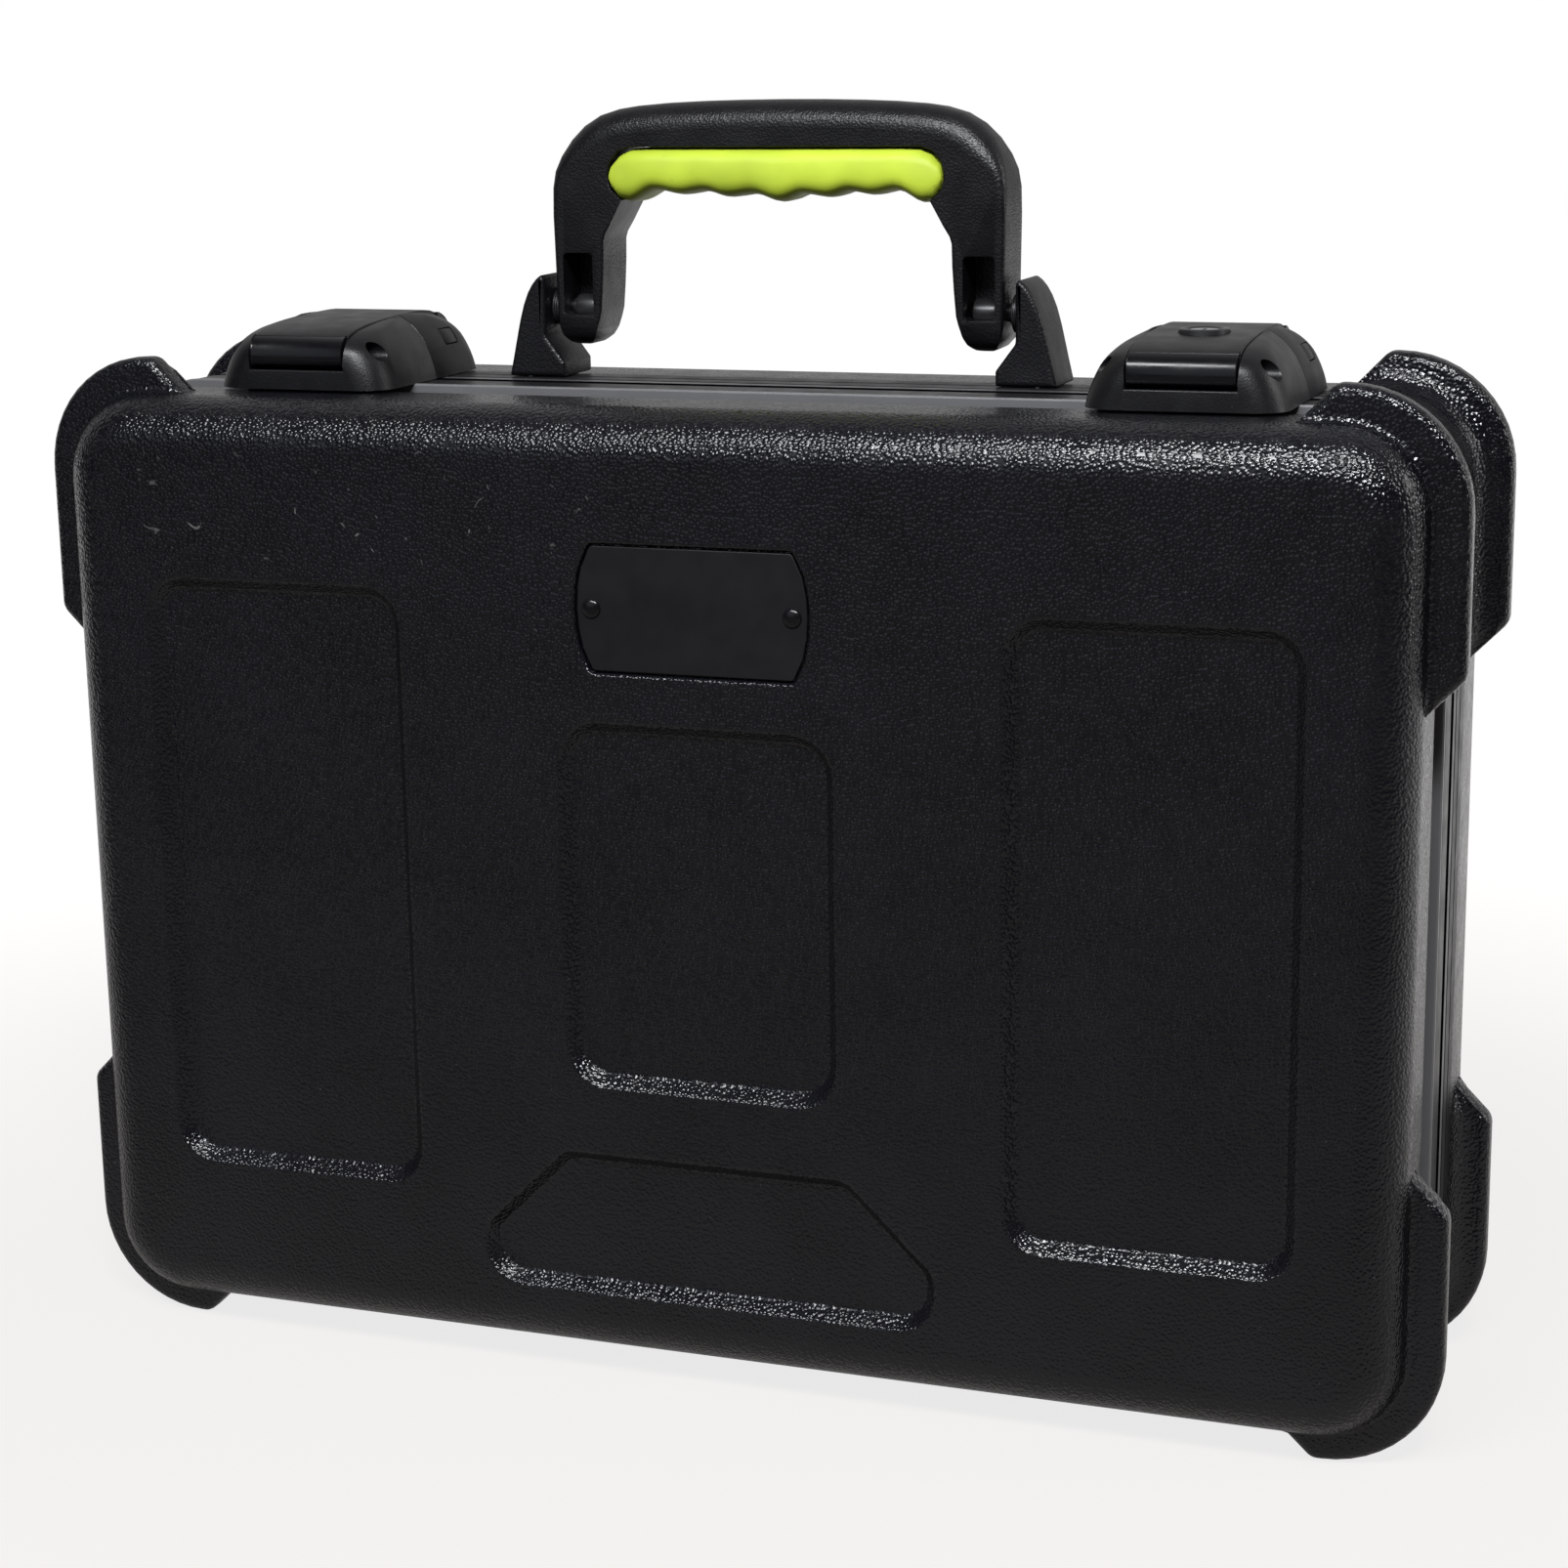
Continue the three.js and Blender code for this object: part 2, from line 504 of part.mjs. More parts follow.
// One corner bumper, for the corner on the given sides.
function bumper(side, across, up) {
  const middle = (SHELL_TOP + SHELL_BOTTOM) * HALF;
  const shellHeight = SHELL_HEIGHT * HALF;
  const height = shellHeight + BUMPER_RISE;
  const drop = BUMPER_RADIUS + BUMPER_SIDE_FLAT;
  const reach = BUMPER_RADIUS + BUMPER_TOP_FLAT;
  const root = SHELL_WALL * HALF;
  const points = [
    [SHELL_HALF_WIDTH - root, height - drop - BUMPER_SLOPE],
    [BUMPER_HALF_WIDTH, height - drop],
  ];
  for (let i = 0; i <= CORNER_STEPS + 1; i += 1) {
    const angle = (Math.PI / 2) * (i / (CORNER_STEPS + 1));
    points.push([BUMPER_HALF_WIDTH - BUMPER_RADIUS * (1 - Math.cos(angle)),
      height - BUMPER_RADIUS * (1 - Math.sin(angle))]);
  }
  points.push([BUMPER_HALF_WIDTH - reach, height]);
  points.push([BUMPER_HALF_WIDTH - reach - BUMPER_SLOPE, shellHeight - root]);
  const radius = SHELL_CORNER_RADIUS - root;
  for (let i = CORNER_STEPS; i >= 0; i -= 1) {
    const angle = (Math.PI / 2) * (i / CORNER_STEPS);
    points.push([SHELL_HALF_WIDTH - SHELL_CORNER_RADIUS + radius * Math.cos(angle),
      shellHeight - SHELL_CORNER_RADIUS + radius * Math.sin(angle)]);
  }
  const placed = points.map(([x, z]) => [across * x, middle + up * z]);
  return sidePrism(placed, side, BUMPER_NEAR, BUMPER_FAR);
}

// A sunk panel as [cutter, pad]: the cutter sinks the face, the pad thickens the wall behind it.
function panel(side, outline, inner, outer) {
  const cutter = loft([
    raise(outer, side, SHELL_FACE + PASS),
    raise(outline, side, SHELL_FACE),
    raise(inner, side, SHELL_FACE - PANEL_DEPTH),
  ]);
  const pad = sidePrism(outline, side, SHELL_FACE - PANEL_DEPTH - PANEL_BACK, SHELL_FACE - SHELL_WALL * HALF);
  return [cutter, pad];
}

function rectPanel(side, x0, x1, z0, z1, radius) {
  const ring = (inset) => roundRect(x0 + inset, x1 - inset, z0 + inset, z1 - inset, radius - inset);
  return panel(side, ring(0), ring(PANEL_SLOPE), ring(-PANEL_SLOPE * HALF));
}

function lowPanel(side) {
  const half = LOW_PANEL_SHARES.map(([u, v]) => [u * LOW_PANEL_HALF, LOW_PANEL_BOTTOM
    + v * LOW_PANEL_HEIGHT]);
  const outline = [...half, ...half.map(([x, z]) => [-x, z]).reverse()];
  const middle = (LOW_PANEL_TOP + LOW_PANEL_BOTTOM) * HALF;
  const grown = (by) => outline.map(([x, z]) => [
    x * (1 + by / LOW_PANEL_HALF), middle + (z - middle) * (1 + by / (LOW_PANEL_HEIGHT * HALF))]);
  return panel(side, outline, grown(-PANEL_SLOPE), grown(PANEL_SLOPE * HALF));
}

// The name plate's outline: straight top and bottom, ends bowed outward.
function plateOutline(margin) {
  const corner = PLATE_HALF_WIDTH * PLATE_CORNER_SHARE;
  const points = [];
  for (const across of [1, -1]) {
    for (let i = 0; i <= BOW_STEPS; i += 1) {
      const t = (2 * i) / BOW_STEPS - 1;
      const bow = (PLATE_HALF_WIDTH - corner) * (1 - t * t) + margin;
      const z = (PLATE_TOP + PLATE_BOTTOM) * HALF + across * t * (PLATE_HEIGHT * HALF + margin);
      points.push([across * (corner + bow), z]);
    }
  }
  return points;
}

const plateMiddle = (PLATE_TOP + PLATE_BOTTOM) * HALF;
const recessFloor = SHELL_FACE - PLATE_RECESS;
const plateBack = recessFloor + GAP;
const plateFront = plateBack + PLATE_THICKNESS;

function shell(side) {
  const panels = [
    rectPanel(side, TALL_PANEL_INNER, TALL_PANEL_OUTER, TALL_PANEL_BOTTOM, TALL_PANEL_TOP, TALL_PANEL_RADIUS),
    rectPanel(side, -TALL_PANEL_OUTER, -TALL_PANEL_INNER, TALL_PANEL_BOTTOM, TALL_PANEL_TOP,
      TALL_PANEL_RADIUS),
    rectPanel(side, -MIDDLE_PANEL_HALF, MIDDLE_PANEL_HALF, MIDDLE_PANEL_BOTTOM, MIDDLE_PANEL_TOP,
      MIDDLE_PANEL_RADIUS),
    lowPanel(side),
  ];
  let body = trayBody(side, SHELL_RIM, SHELL_FACE, 0)
    .subtract(trayBody(side, SHELL_RIM - PASS, SHELL_FACE - SHELL_WALL, SHELL_WALL));
  const corners = [[1, 1], [-1, 1], [-1, -1], [1, -1]];
  body = addAll([body, ...corners.map(([across, up]) => bumper(side, across, up)),
    ...panels.map(([, pad]) => pad)]);
  body = cutAll(body, panels.map(([cutter]) => cutter));
  if (side > 0) return body;
  // The lid also carries the name plate in a shallow recess.
  const pad = sidePrism(plateOutline(PLATE_MARGIN), side, SHELL_FACE - PANEL_DEPTH - PANEL_BACK,
    SHELL_FACE - SHELL_WALL * HALF);
  const recess = sidePrism(plateOutline(PLATE_MARGIN), side, recessFloor, SHELL_FACE + PASS);
  const holes = [-RIVET_OFFSET, RIVET_OFFSET].map((x) => sidePrism(
    circle(x, plateMiddle, RIVET_SHANK_RADIUS + BORE_GAP, PIN_SIDES), side,
    SHELL_FACE - PANEL_DEPTH - PANEL_BACK - PASS, SHELL_FACE));
  return cutAll(body.add(pad), [recess, ...holes]);
}

// A metal edge band: proud of the shell near the meeting plane, tucked inside the shell beyond it.
function band(side, end, line) {
  const start = GAP * HALF;
  const outer = [
    [start, -BAND_PROUD + BAND_EDGE], [start + BAND_EDGE, -BAND_PROUD],
    [line, -BAND_PROUD], [line + LINE_DEPTH * HALF, LINE_DEPTH - BAND_PROUD],
    [line + LINE_WIDTH, LINE_DEPTH - BAND_PROUD], [line + LINE_WIDTH + LINE_DEPTH * HALF, -BAND_PROUD],
    [end - BAND_EDGE, -BAND_PROUD], [end, -BAND_PROUD + BAND_EDGE],
    [end, BAND_TUCK_INSET], [BAND_TUCK_END, BAND_TUCK_INSET], [BAND_TUCK_END, BAND_INSET], [start,
      BAND_INSET],
  ];
  return loft(outer.map(([distance, inset]) => raise(shellOutline(inset), side, distance)), true);
}

// A screw put in from inside the case, its head under the band.
function insideScrew(x, y, length = SCREW_LENGTH) {
  return prism(circle(x, y, SCREW_HEAD_RADIUS, SCREW_SIDES), 'z', screwTop - SCREW_HEAD_HEIGHT, screwTop)
    .add(prism(circle(x, y, SCREW_SHANK_RADIUS, SCREW_SIDES), 'z', screwTop - SCREW_HEAD_HEIGHT * HALF,
      screwTop + length));
}

function screwHole(x, y, low, high) {
  return prism(circle(x, y, SCREW_SHANK_RADIUS + BORE_GAP, SCREW_SIDES), 'z', low, high);
}

const bandInside = SHELL_TOP - BAND_INSET; // inner surface of the bands along the top
const screwTop = bandInside - GAP;
const screwTip = screwTop + SCREW_LENGTH + GAP;
const bracketScrewTip = screwTop + BRACKET_SCREW_LENGTH + GAP;
const bracketFront = HANDLE_MIDDLE - BRACKET_DEPTH * HALF;
const bracketBack = HANDLE_MIDDLE + BRACKET_DEPTH * HALF;
const firstBracketScrew = bracketFront + BRACKET_SCREW_EDGE;
const bracketScrewPlaces = [-1, 1].flatMap((across) => [firstBracketScrew, firstBracketScrew
  + BRACKET_SCREW_SPREAD].map((y) => [
  across * BRACKET_SCREW_OFFSET, y]));
const latchPlaces = (distance) => [-1, 1].flatMap((across) => [-1, 1].map((way) => [
  across * LATCH_OFFSET + way * LATCH_SCREW_SPREAD, distance]));
const baseLatchScrews = latchPlaces(BASE_LATCH_SCREW);
const lidLatchScrews = latchPlaces(-LID_LATCH_SCREW);
const hingePlaces = (side) => [-1, 1].flatMap((across) => [-1, 1].map((way) => [
  across * HINGE_OFFSET + way * HINGE_RIVET_SPREAD, side * HINGE_RIVET_OUT]));
const holesAt = (places, low, high) => places.map(([x, y]) => screwHole(x, y, low, high));

// Hinge rivets come up through the leaf and the band from below.
const bandFloor = SHELL_BOTTOM + BAND_INSET;
const leafTop = SHELL_BOTTOM - BAND_PROUD - GAP;
const leafBottom = leafTop - LEAF_THICKNESS;
function hingeRivet(x, y) {
  const low = leafBottom - GAP - RIVET_HEAD_HEIGHT;
  return prism(circle(x, y, RIVET_HEAD_RADIUS, SCREW_SIDES), 'z', low, low + RIVET_HEAD_HEIGHT)
    .add(prism(circle(x, y, RIVET_SHANK_RADIUS, SCREW_SIDES), 'z', low, bandFloor + GAP));
}

// Base: shell, band, foam.
const lowHoles = (side) => holesAt(hingePlaces(side), leafBottom - PASS, bandFloor + PASS);
piece('base_shell', shell(1), BLACK_SHELL);
piece('base_band', cutAll(band(1, BASE_BAND_END, BASE_LINE), [
  ...holesAt([...bracketScrewPlaces, ...baseLatchScrews], bandInside - PASS, SHELL_TOP + PASS),
    ...lowHoles(1)]), BLACK_METAL);

const foamOutline = shellOutline(FOAM_INSET, FOAM_CORNER_RADIUS);
const panelInside = SHELL_FACE - PANEL_DEPTH - PANEL_BACK;
const floorBack = panelInside - GAP;
const floorNear = floorBack - FOAM_FLOOR_THICKNESS;
piece('base_foam_floor', sidePrism(foamOutline, 1, floorNear, floorBack), GREY_FOAM);

const foamMiddle = (SHELL_TOP + SHELL_BOTTOM) * HALF;
const pockets = [-1, 1].flatMap((across) => Array.from({ length: POCKET_ROWS }, (_, row) => {
  const z = foamMiddle + (row - (POCKET_ROWS - 1) * HALF) * POCKET_PITCH;
  const [low, high] = span(across, POCKET_INNER, POCKET_OUTER);
  return roundRect(low, high, z - POCKET_WIDTH * HALF, z + POCKET_WIDTH * HALF, POCKET_RADIUS, POCKET_STEPS);
}));
const well = roundRect(-WELL_WIDTH * HALF, WELL_WIDTH * HALF,
  foamMiddle - WELL_HEIGHT * HALF, foamMiddle + WELL_HEIGHT * HALF, WELL_RADIUS, POCKET_STEPS);
const foamBlockBack = floorNear - GAP;
piece('base_foam_insert', cutAll(sidePrism(foamOutline, 1, FOAM_BLOCK_NEAR, foamBlockBack),
  [...pockets, well].map((outline) => sidePrism(outline, 1, FOAM_BLOCK_NEAR - PASS, foamBlockBack
    + PASS))), GREY_FOAM);

// Lid: shell, band, foam, plate.
piece('lid_shell', shell(-1), BLACK_SHELL);
piece('lid_band', cutAll(band(-1, LID_BAND_END, LID_LINE), [
  ...holesAt(lidLatchScrews, bandInside - PASS, SHELL_TOP + PASS), ...lowHoles(-1)]), BLACK_METAL);
piece('lid_foam', sidePrism(foamOutline, -1, LID_FOAM_NEAR, floorBack), GREY_FOAM);
const plateHoles = [-RIVET_OFFSET, RIVET_OFFSET].map((x) => sidePrism(
  circle(x, plateMiddle, RIVET_SHANK_RADIUS + BORE_GAP, PIN_SIDES), -1, recessFloor, SHELL_FACE));
piece('name_plate', cutAll(sidePrism(plateOutline(0), -1, plateBack, plateFront), plateHoles), BLACK_PLASTIC);
function plateRivet(x) {
  const ring = (radius, distance) => raise(circle(x, plateMiddle, radius, PIN_SIDES), -1, distance);
  const seat = plateFront + GAP * HALF;
  const top = seat + RIVET_HEAD_HEIGHT;
  return loft([ring(RIVET_SHANK_RADIUS, seat - RIVET_SHANK_LENGTH), ring(RIVET_SHANK_RADIUS, seat),
    ring(RIVET_HEAD_RADIUS, seat), ring(RIVET_HEAD_RADIUS * Math.SQRT1_2, top - RIVET_HEAD_HEIGHT * QUARTER),
    ring(RIVET_HEAD_RADIUS * QUARTER, top)]);
}
piece('left_plate_rivet', plateRivet(-RIVET_OFFSET), GLOSS_BLACK);
piece('right_plate_rivet', plateRivet(RIVET_OFFSET), GLOSS_BLACK);

// Handle frame: an arch with a window in each leg, turning on the two pins.
const frameHalf = [
  ...FRAME_OUTER_SHARES.map(([u, v]) => [u * FRAME_HALF, AXIS_HEIGHT + v * FRAME_RISE]),
  ...FRAME_FOOT_SHARES.map(([u, v]) => [FRAME_HALF - u * LEG_WIDTH, AXIS_HEIGHT + v * FRAME_DROP]),
  [FRAME_HALF - LEG_WIDTH, AXIS_HEIGHT + KNEE_SHARE * GRIP_RISE],
  ...FRAME_SHOULDER_SHARES.map(([u, v]) => [u * GRIP_HALF_LENGTH, AXIS_HEIGHT + v * GRIP_RISE]),
  ...GRIP_BED_SHARES.map(([u, v]) => [u * GRIP_HALF_LENGTH + GAP, GRIP_BOTTOM + v * (GRIP_HEIGHT + GAP)]),
];
const frameOutline = [...frameHalf, ...frameHalf.slice(1).map(([x, z]) => [-x, z]).reverse()];
const handleFront = HANDLE_MIDDLE - HANDLE_THICKNESS * HALF;
const handleBack = HANDLE_MIDDLE + HANDLE_THICKNESS * HALF;
// Seen from the side, the legs end in a half round about the pins.
const legEnd = [];
for (let i = 0; i <= LEG_STEPS; i += 1) {
  const angle = Math.PI * (1 + i / LEG_STEPS);
  legEnd.push([HANDLE_MIDDLE + HANDLE_THICKNESS * HALF * Math.cos(angle), AXIS_HEIGHT
    + FRAME_DROP * Math.sin(angle)]);
}
const legSide = [...legEnd, [handleBack, AXIS_HEIGHT + FRAME_RISE + PASS], [handleFront,
  AXIS_HEIGHT + FRAME_RISE + PASS]];
const both = (make) => [make(-1), make(1)];
const across = (way, inner, outer) => (way > 0 ? [inner, outer] : [-outer, -inner]);
const pinHole = (way, radius, inner, outer) => prism(
  circle(HANDLE_MIDDLE, AXIS_HEIGHT, radius, PIN_SIDES), 'x', ...across(way, inner, outer));
piece('handle_frame', cutAll(
  prism(frameOutline, 'y', handleFront, handleBack, FRAME_BEVEL)
    .intersect(prism(legSide, 'x', -FRAME_HALF - PASS, FRAME_HALF + PASS)),
  [
    ...both((way) => block(...across(way, WINDOW_INNER, WINDOW_OUTER), handleFront - PASS, handleFront
      + WINDOW_DEPTH, WINDOW_BOTTOM, WINDOW_TOP)),
    ...both((way) => pinHole(way, BARREL_RADIUS + BORE_GAP, BARREL_INNER - GAP, BARREL_OUTER + GAP)),
    ...both((way) => pinHole(way, HANDLE_PIN_RADIUS + BORE_GAP, BARREL_OUTER, FRAME_HALF + PASS)),
  ]), BLACK_PLASTIC);

// Grip: a scalloped bar, built from rounded sections along its length.
function gripSection(x, [, top, bottom, deep]) {
  const high = GRIP_TOP - GRIP_HEIGHT * (1 - top);
  const low = GRIP_TOP - GRIP_HEIGHT * (1 - bottom);
  const round = (value) => Math.sign(value) * Math.abs(value) ** SECTION_POWER;
  return Array.from({ length: SECTION_POINTS }, (_, i) => {
    const angle = (2 * Math.PI * i) / SECTION_POINTS;
    return [x, HANDLE_MIDDLE + GRIP_DEPTH * HALF * deep * round(Math.cos(angle)),
      (high + low) * HALF + (high - low) * HALF * round(Math.sin(angle))];
  });
}
piece('handle_grip', loft([
  ...GRIP_SHARES.map((row) => gripSection(-row[0] * GRIP_HALF_LENGTH, row)),
  ...GRIP_SHARES.slice(0, -1).reverse().map((row) => gripSection(row[0] * GRIP_HALF_LENGTH, row)),
]), LIME_RUBBER);

// Handle brackets, pins and screws.
function bracket(way) {
  const outline = [
    [BRACKET_OUTER, LATCH_SEAT], [BRACKET_FOOT, LATCH_SEAT],
    ...BRACKET_HIP_SHARES.map(([u, v]) => [BRACKET_FOOT + u * (BRACKET_INNER - BRACKET_FOOT), LATCH_SEAT
      + v * BRACKET_RISE]),
    ...BRACKET_FIN_SHARES.slice(0, -1).map(([u, v]) => [BRACKET_INNER
      + u * (BRACKET_OUTER - BRACKET_INNER), LATCH_SEAT + v * BRACKET_RISE]),
  ].map(([x, z]) => [way * x, z]);
  return cutAll(prism(outline, 'y', bracketFront, bracketBack), [
    pinHole(way, HANDLE_PIN_RADIUS + BORE_GAP, BRACKET_INNER - PASS, HANDLE_PIN_END + GAP),
    ...holesAt(bracketScrewPlaces.filter(([x]) => x * way > 0), LATCH_SEAT - PASS, bracketScrewTip),
  ]);
}
const legOuter = FRAME_HALF + COLLAR_GAP;
function handlePin(way) {
  return addAll([
    pinHole(way, BARREL_RADIUS, BARREL_INNER, BARREL_OUTER),
    pinHole(way, HANDLE_PIN_RADIUS, BARREL_OUTER - GAP, HANDLE_PIN_END),
    pinHole(way, COLLAR_RADIUS, legOuter, BRACKET_INNER - COLLAR_GAP),
  ]);
}
for (const [word, way] of [['left', -1], ['right', 1]]) {
  piece(`${word}_handle_bracket`, bracket(way), BLACK_PLASTIC);
  piece(`${word}_handle_pin`, handlePin(way), STEEL);
}
// One named piece for each place.
function fasteners(name, places, make) {
  places.forEach(([x, y], i) => piece(`${name}_${i + 1}`, make(x, y), STEEL));
}
fasteners('bracket_screw', bracketScrewPlaces, (x, y) => insideScrew(x, y, BRACKET_SCREW_LENGTH));

// Latches. All shapes are made about x = 0 and moved to their places.
const leverAxis = -LEVER_AXIS_BACK;
function mirrored(half) {
  return [...half, ...half.map(([a, b]) => [-a, b]).reverse()];
}
const latchSide = mirrored(LATCH_SIDE_SHARES.map(([u, v]) => [u * LATCH_HALF_BASE, LATCH_SEAT
  + v * LATCH_RISE]));
const latchEnd = mirrored(LATCH_END_SHARES.map(([u, v]) => [u * LATCH_REACH, LATCH_SEAT + v * LATCH_RISE]));
const latchPlan = roundRect(-LATCH_HALF_BASE, LATCH_HALF_BASE, -LATCH_REACH, LATCH_REACH, LATCH_PLAN_RADIUS);
const dome = prism(latchSide, 'y', -LATCH_REACH, LATCH_REACH)
  .intersect(prism(latchEnd, 'x', -LATCH_HALF_BASE, LATCH_HALF_BASE))
  .intersect(prism(latchPlan, 'z', LATCH_SEAT, LATCH_TOP));
const latchFloor = LATCH_SEAT + LATCH_FLOOR;
const farX = LATCH_HALF_BASE + PASS;
const topZ = LATCH_TOP + PASS;
const slotBack = LEVER_END + GAP;

// Lid half of the latch: cheeks, front wall and floor.
const frontHousing = cutAll(
  dome.intersect(block(-farX, farX, -LATCH_REACH - PASS, -GAP * HALF, LATCH_SEAT - PASS, topZ)),
  [
    block(-SLOT_HALF, SLOT_HALF, -LATCH_REACH + LATCH_WALL, PASS, latchFloor, topZ),
    block(-SLOT_HALF, SLOT_HALF, -LATCH_REACH - PASS, PASS, WINDOW_SILL, topZ),
    prism(circle(leverAxis, LEVER_AXIS_HEIGHT, LEVER_PIN_RADIUS + BORE_GAP, PIN_SIDES), 'x',
      -LEVER_PIN_HALF - GAP, LEVER_PIN_HALF + GAP),
    ...both((way) => prism(circle(leverAxis, LEVER_AXIS_HEIGHT, CHEEK_HOLE_RADIUS, PIN_SIDES), 'x',
      ...across(way, LEVER_PIN_HALF, farX))),
  ]);

// Base half: cheeks with the button's pocket, back wall and floor.
const buttonPocket = (inner, outer, grow) => block(inner, outer, BUTTON_MIDDLE - BUTTON_HALF_LENGTH - grow,
  BUTTON_MIDDLE + BUTTON_HALF_LENGTH + grow, BUTTON_HEIGHT - BUTTON_HALF_HEIGHT - grow, BUTTON_HEIGHT
    + BUTTON_HALF_HEIGHT + grow);
const backHousing = cutAll(
  dome.intersect(block(-farX, farX, GAP * HALF, LATCH_REACH + PASS, LATCH_SEAT - PASS, topZ)),
  [
    block(-SLOT_HALF, SLOT_HALF, -PASS, slotBack, latchFloor, topZ),
    buttonPocket(SLOT_HALF - PASS, farX, BORE_GAP),
  ]).add(block(SPRING_SEAT - STOP_THICKNESS, SPRING_SEAT, BUTTON_MIDDLE - BUTTON_HALF_LENGTH,
    BUTTON_MIDDLE + BUTTON_HALF_LENGTH,
  latchFloor - LATCH_FLOOR * HALF, BUTTON_HEIGHT + BUTTON_HALF_HEIGHT));

// Lever: a flat arm that ends in a drum about its pin. The drum's lower front is a glossy bar.
const armBottom = LATCH_TOP - LEVER_THICKNESS;
const cap = mirrored(LATCH_END_SHARES.map(([u, v]) => [u * LATCH_REACH, LATCH_SEAT + v * LATCH_RISE]));
const armBlock = prism(cap, 'x', -LEVER_HALF, LEVER_HALF)
  .intersect(block(-farX, farX, leverAxis, LEVER_END, armBottom, topZ));
const drum = (radius) => prism(circle(leverAxis, LEVER_AXIS_HEIGHT, radius), 'x', -LEVER_HALF, LEVER_HALF);
const drumFront = block(-farX, farX, leverAxis - farX, leverAxis, LATCH_SEAT, LEVER_LIP);
const pinBore = prism(circle(leverAxis, LEVER_AXIS_HEIGHT, LEVER_PIN_RADIUS + BORE_GAP, PIN_SIDES), 'x',
  -farX, farX);
const tongue = (way) => prism([
  [BUTTON_MIDDLE - TONGUE_LENGTH * HALF, armBottom + GAP], [BUTTON_MIDDLE - TONGUE_LENGTH * HALF,
    armBottom - TONGUE_DROP * HALF],
  [BUTTON_MIDDLE - TONGUE_LENGTH * QUARTER, armBottom - TONGUE_DROP],
    [BUTTON_MIDDLE + TONGUE_LENGTH * QUARTER, armBottom - TONGUE_DROP],
  [BUTTON_MIDDLE + TONGUE_LENGTH * HALF, armBottom - TONGUE_DROP * HALF],
    [BUTTON_MIDDLE + TONGUE_LENGTH * HALF, armBottom + GAP],
], 'x', ...across(way, TONGUE_OFFSET - TONGUE_THICKNESS, TONGUE_OFFSET));
const boltHole = prism(circle(BUTTON_MIDDLE, BUTTON_HEIGHT, BOLT_HOLE_RADIUS, PIN_SIDES), 'x', -farX, farX);
const lever = cutAll(armBlock.add(drum(DRUM_RADIUS)), [drumFront, pinBore]).add(tongue(1)).subtract(boltHole);
const leverBar = drum(DRUM_RADIUS - GAP).intersect(
  block(-farX, farX, leverAxis - farX, leverAxis - GAP, LATCH_SEAT, LEVER_LIP - GAP)).subtract(pinBore);

const button = buttonPocket(BUTTON_INNER, farX, 0)
  .intersect(dome.add(block(0, BUTTON_OUTER, -farX, farX, LATCH_SEAT, LATCH_TOP)));
const bolt = prism(circle(BUTTON_MIDDLE, BUTTON_HEIGHT, BOLT_RADIUS, PIN_SIDES), 'x',
  BUTTON_INNER - BOLT_LENGTH, BUTTON_INNER + GAP);
const boltPass = prism(circle(BUTTON_MIDDLE, BUTTON_HEIGHT, BOLT_HOLE_RADIUS, PIN_SIDES), 'x', 0,
  SPRING_SEAT + PASS);

// A coil spring around the bolt: a round wire swept along a helix.
class Helix extends THREE.Curve {
  getPoint(t) {
    const angle = 2 * Math.PI * SPRING_TURNS * t;
    const run = SPRING_LENGTH - 2 * (SPRING_WIRE + GAP);
    return new THREE.Vector3(SPRING_SEAT + SPRING_ROOM + GAP + SPRING_WIRE + GAP * HALF + run * t,
      BUTTON_MIDDLE + SPRING_RADIUS * Math.cos(angle), BUTTON_HEIGHT + SPRING_RADIUS * Math.sin(angle));
  }
}
const wire = new THREE.Shape(circle(0, 0, SPRING_WIRE, WIRE_SIDES).map(([a, b]) => new THREE.Vector2(a, b)));
const spring = solid(new THREE.ExtrudeGeometry(wire, { steps: SPRING_TURNS * WIRE_STEPS,
  extrudePath: new Helix() }));

// Lock in the right-hand lever: a plain barrel, a turning plug with a keyway, and its cam.
const lockAxis = -LOCK_BACK;
const lockTop = LATCH_TOP + LOCK_PROUD;
const lockLow = lockTop - LOCK_DEPTH;
const round = (radius, low, high) => prism(circle(0, lockAxis, radius), 'z', low, high);
const lockBarrel = round(LOCK_RADIUS, lockLow, lockTop).subtract(round(LOCK_PLUG_RADIUS + BORE_GAP,
  lockLow - PASS, topZ + LOCK_PROUD));
const plugLow = lockLow - GAP - CAM_THICKNESS;
const lockPlug = addAll([
  round(LOCK_PLUG_RADIUS, plugLow, lockTop - BORE_GAP),
  block(-CAM_HALF_WIDTH, CAM_HALF_WIDTH, lockAxis, lockAxis + CAM_LENGTH, plugLow, plugLow + CAM_THICKNESS),
]).subtract(block(-KEYWAY_HALF_WIDTH, KEYWAY_HALF_WIDTH, lockAxis - KEYWAY_HALF_LENGTH, lockAxis
  + KEYWAY_HALF_LENGTH, lockTop - KEYWAY_DEPTH, topZ + LOCK_PROUD));
const leverWithLock = lever.subtract(round(LOCK_RADIUS + BORE_GAP, lockLow - PASS, topZ + LOCK_PROUD));

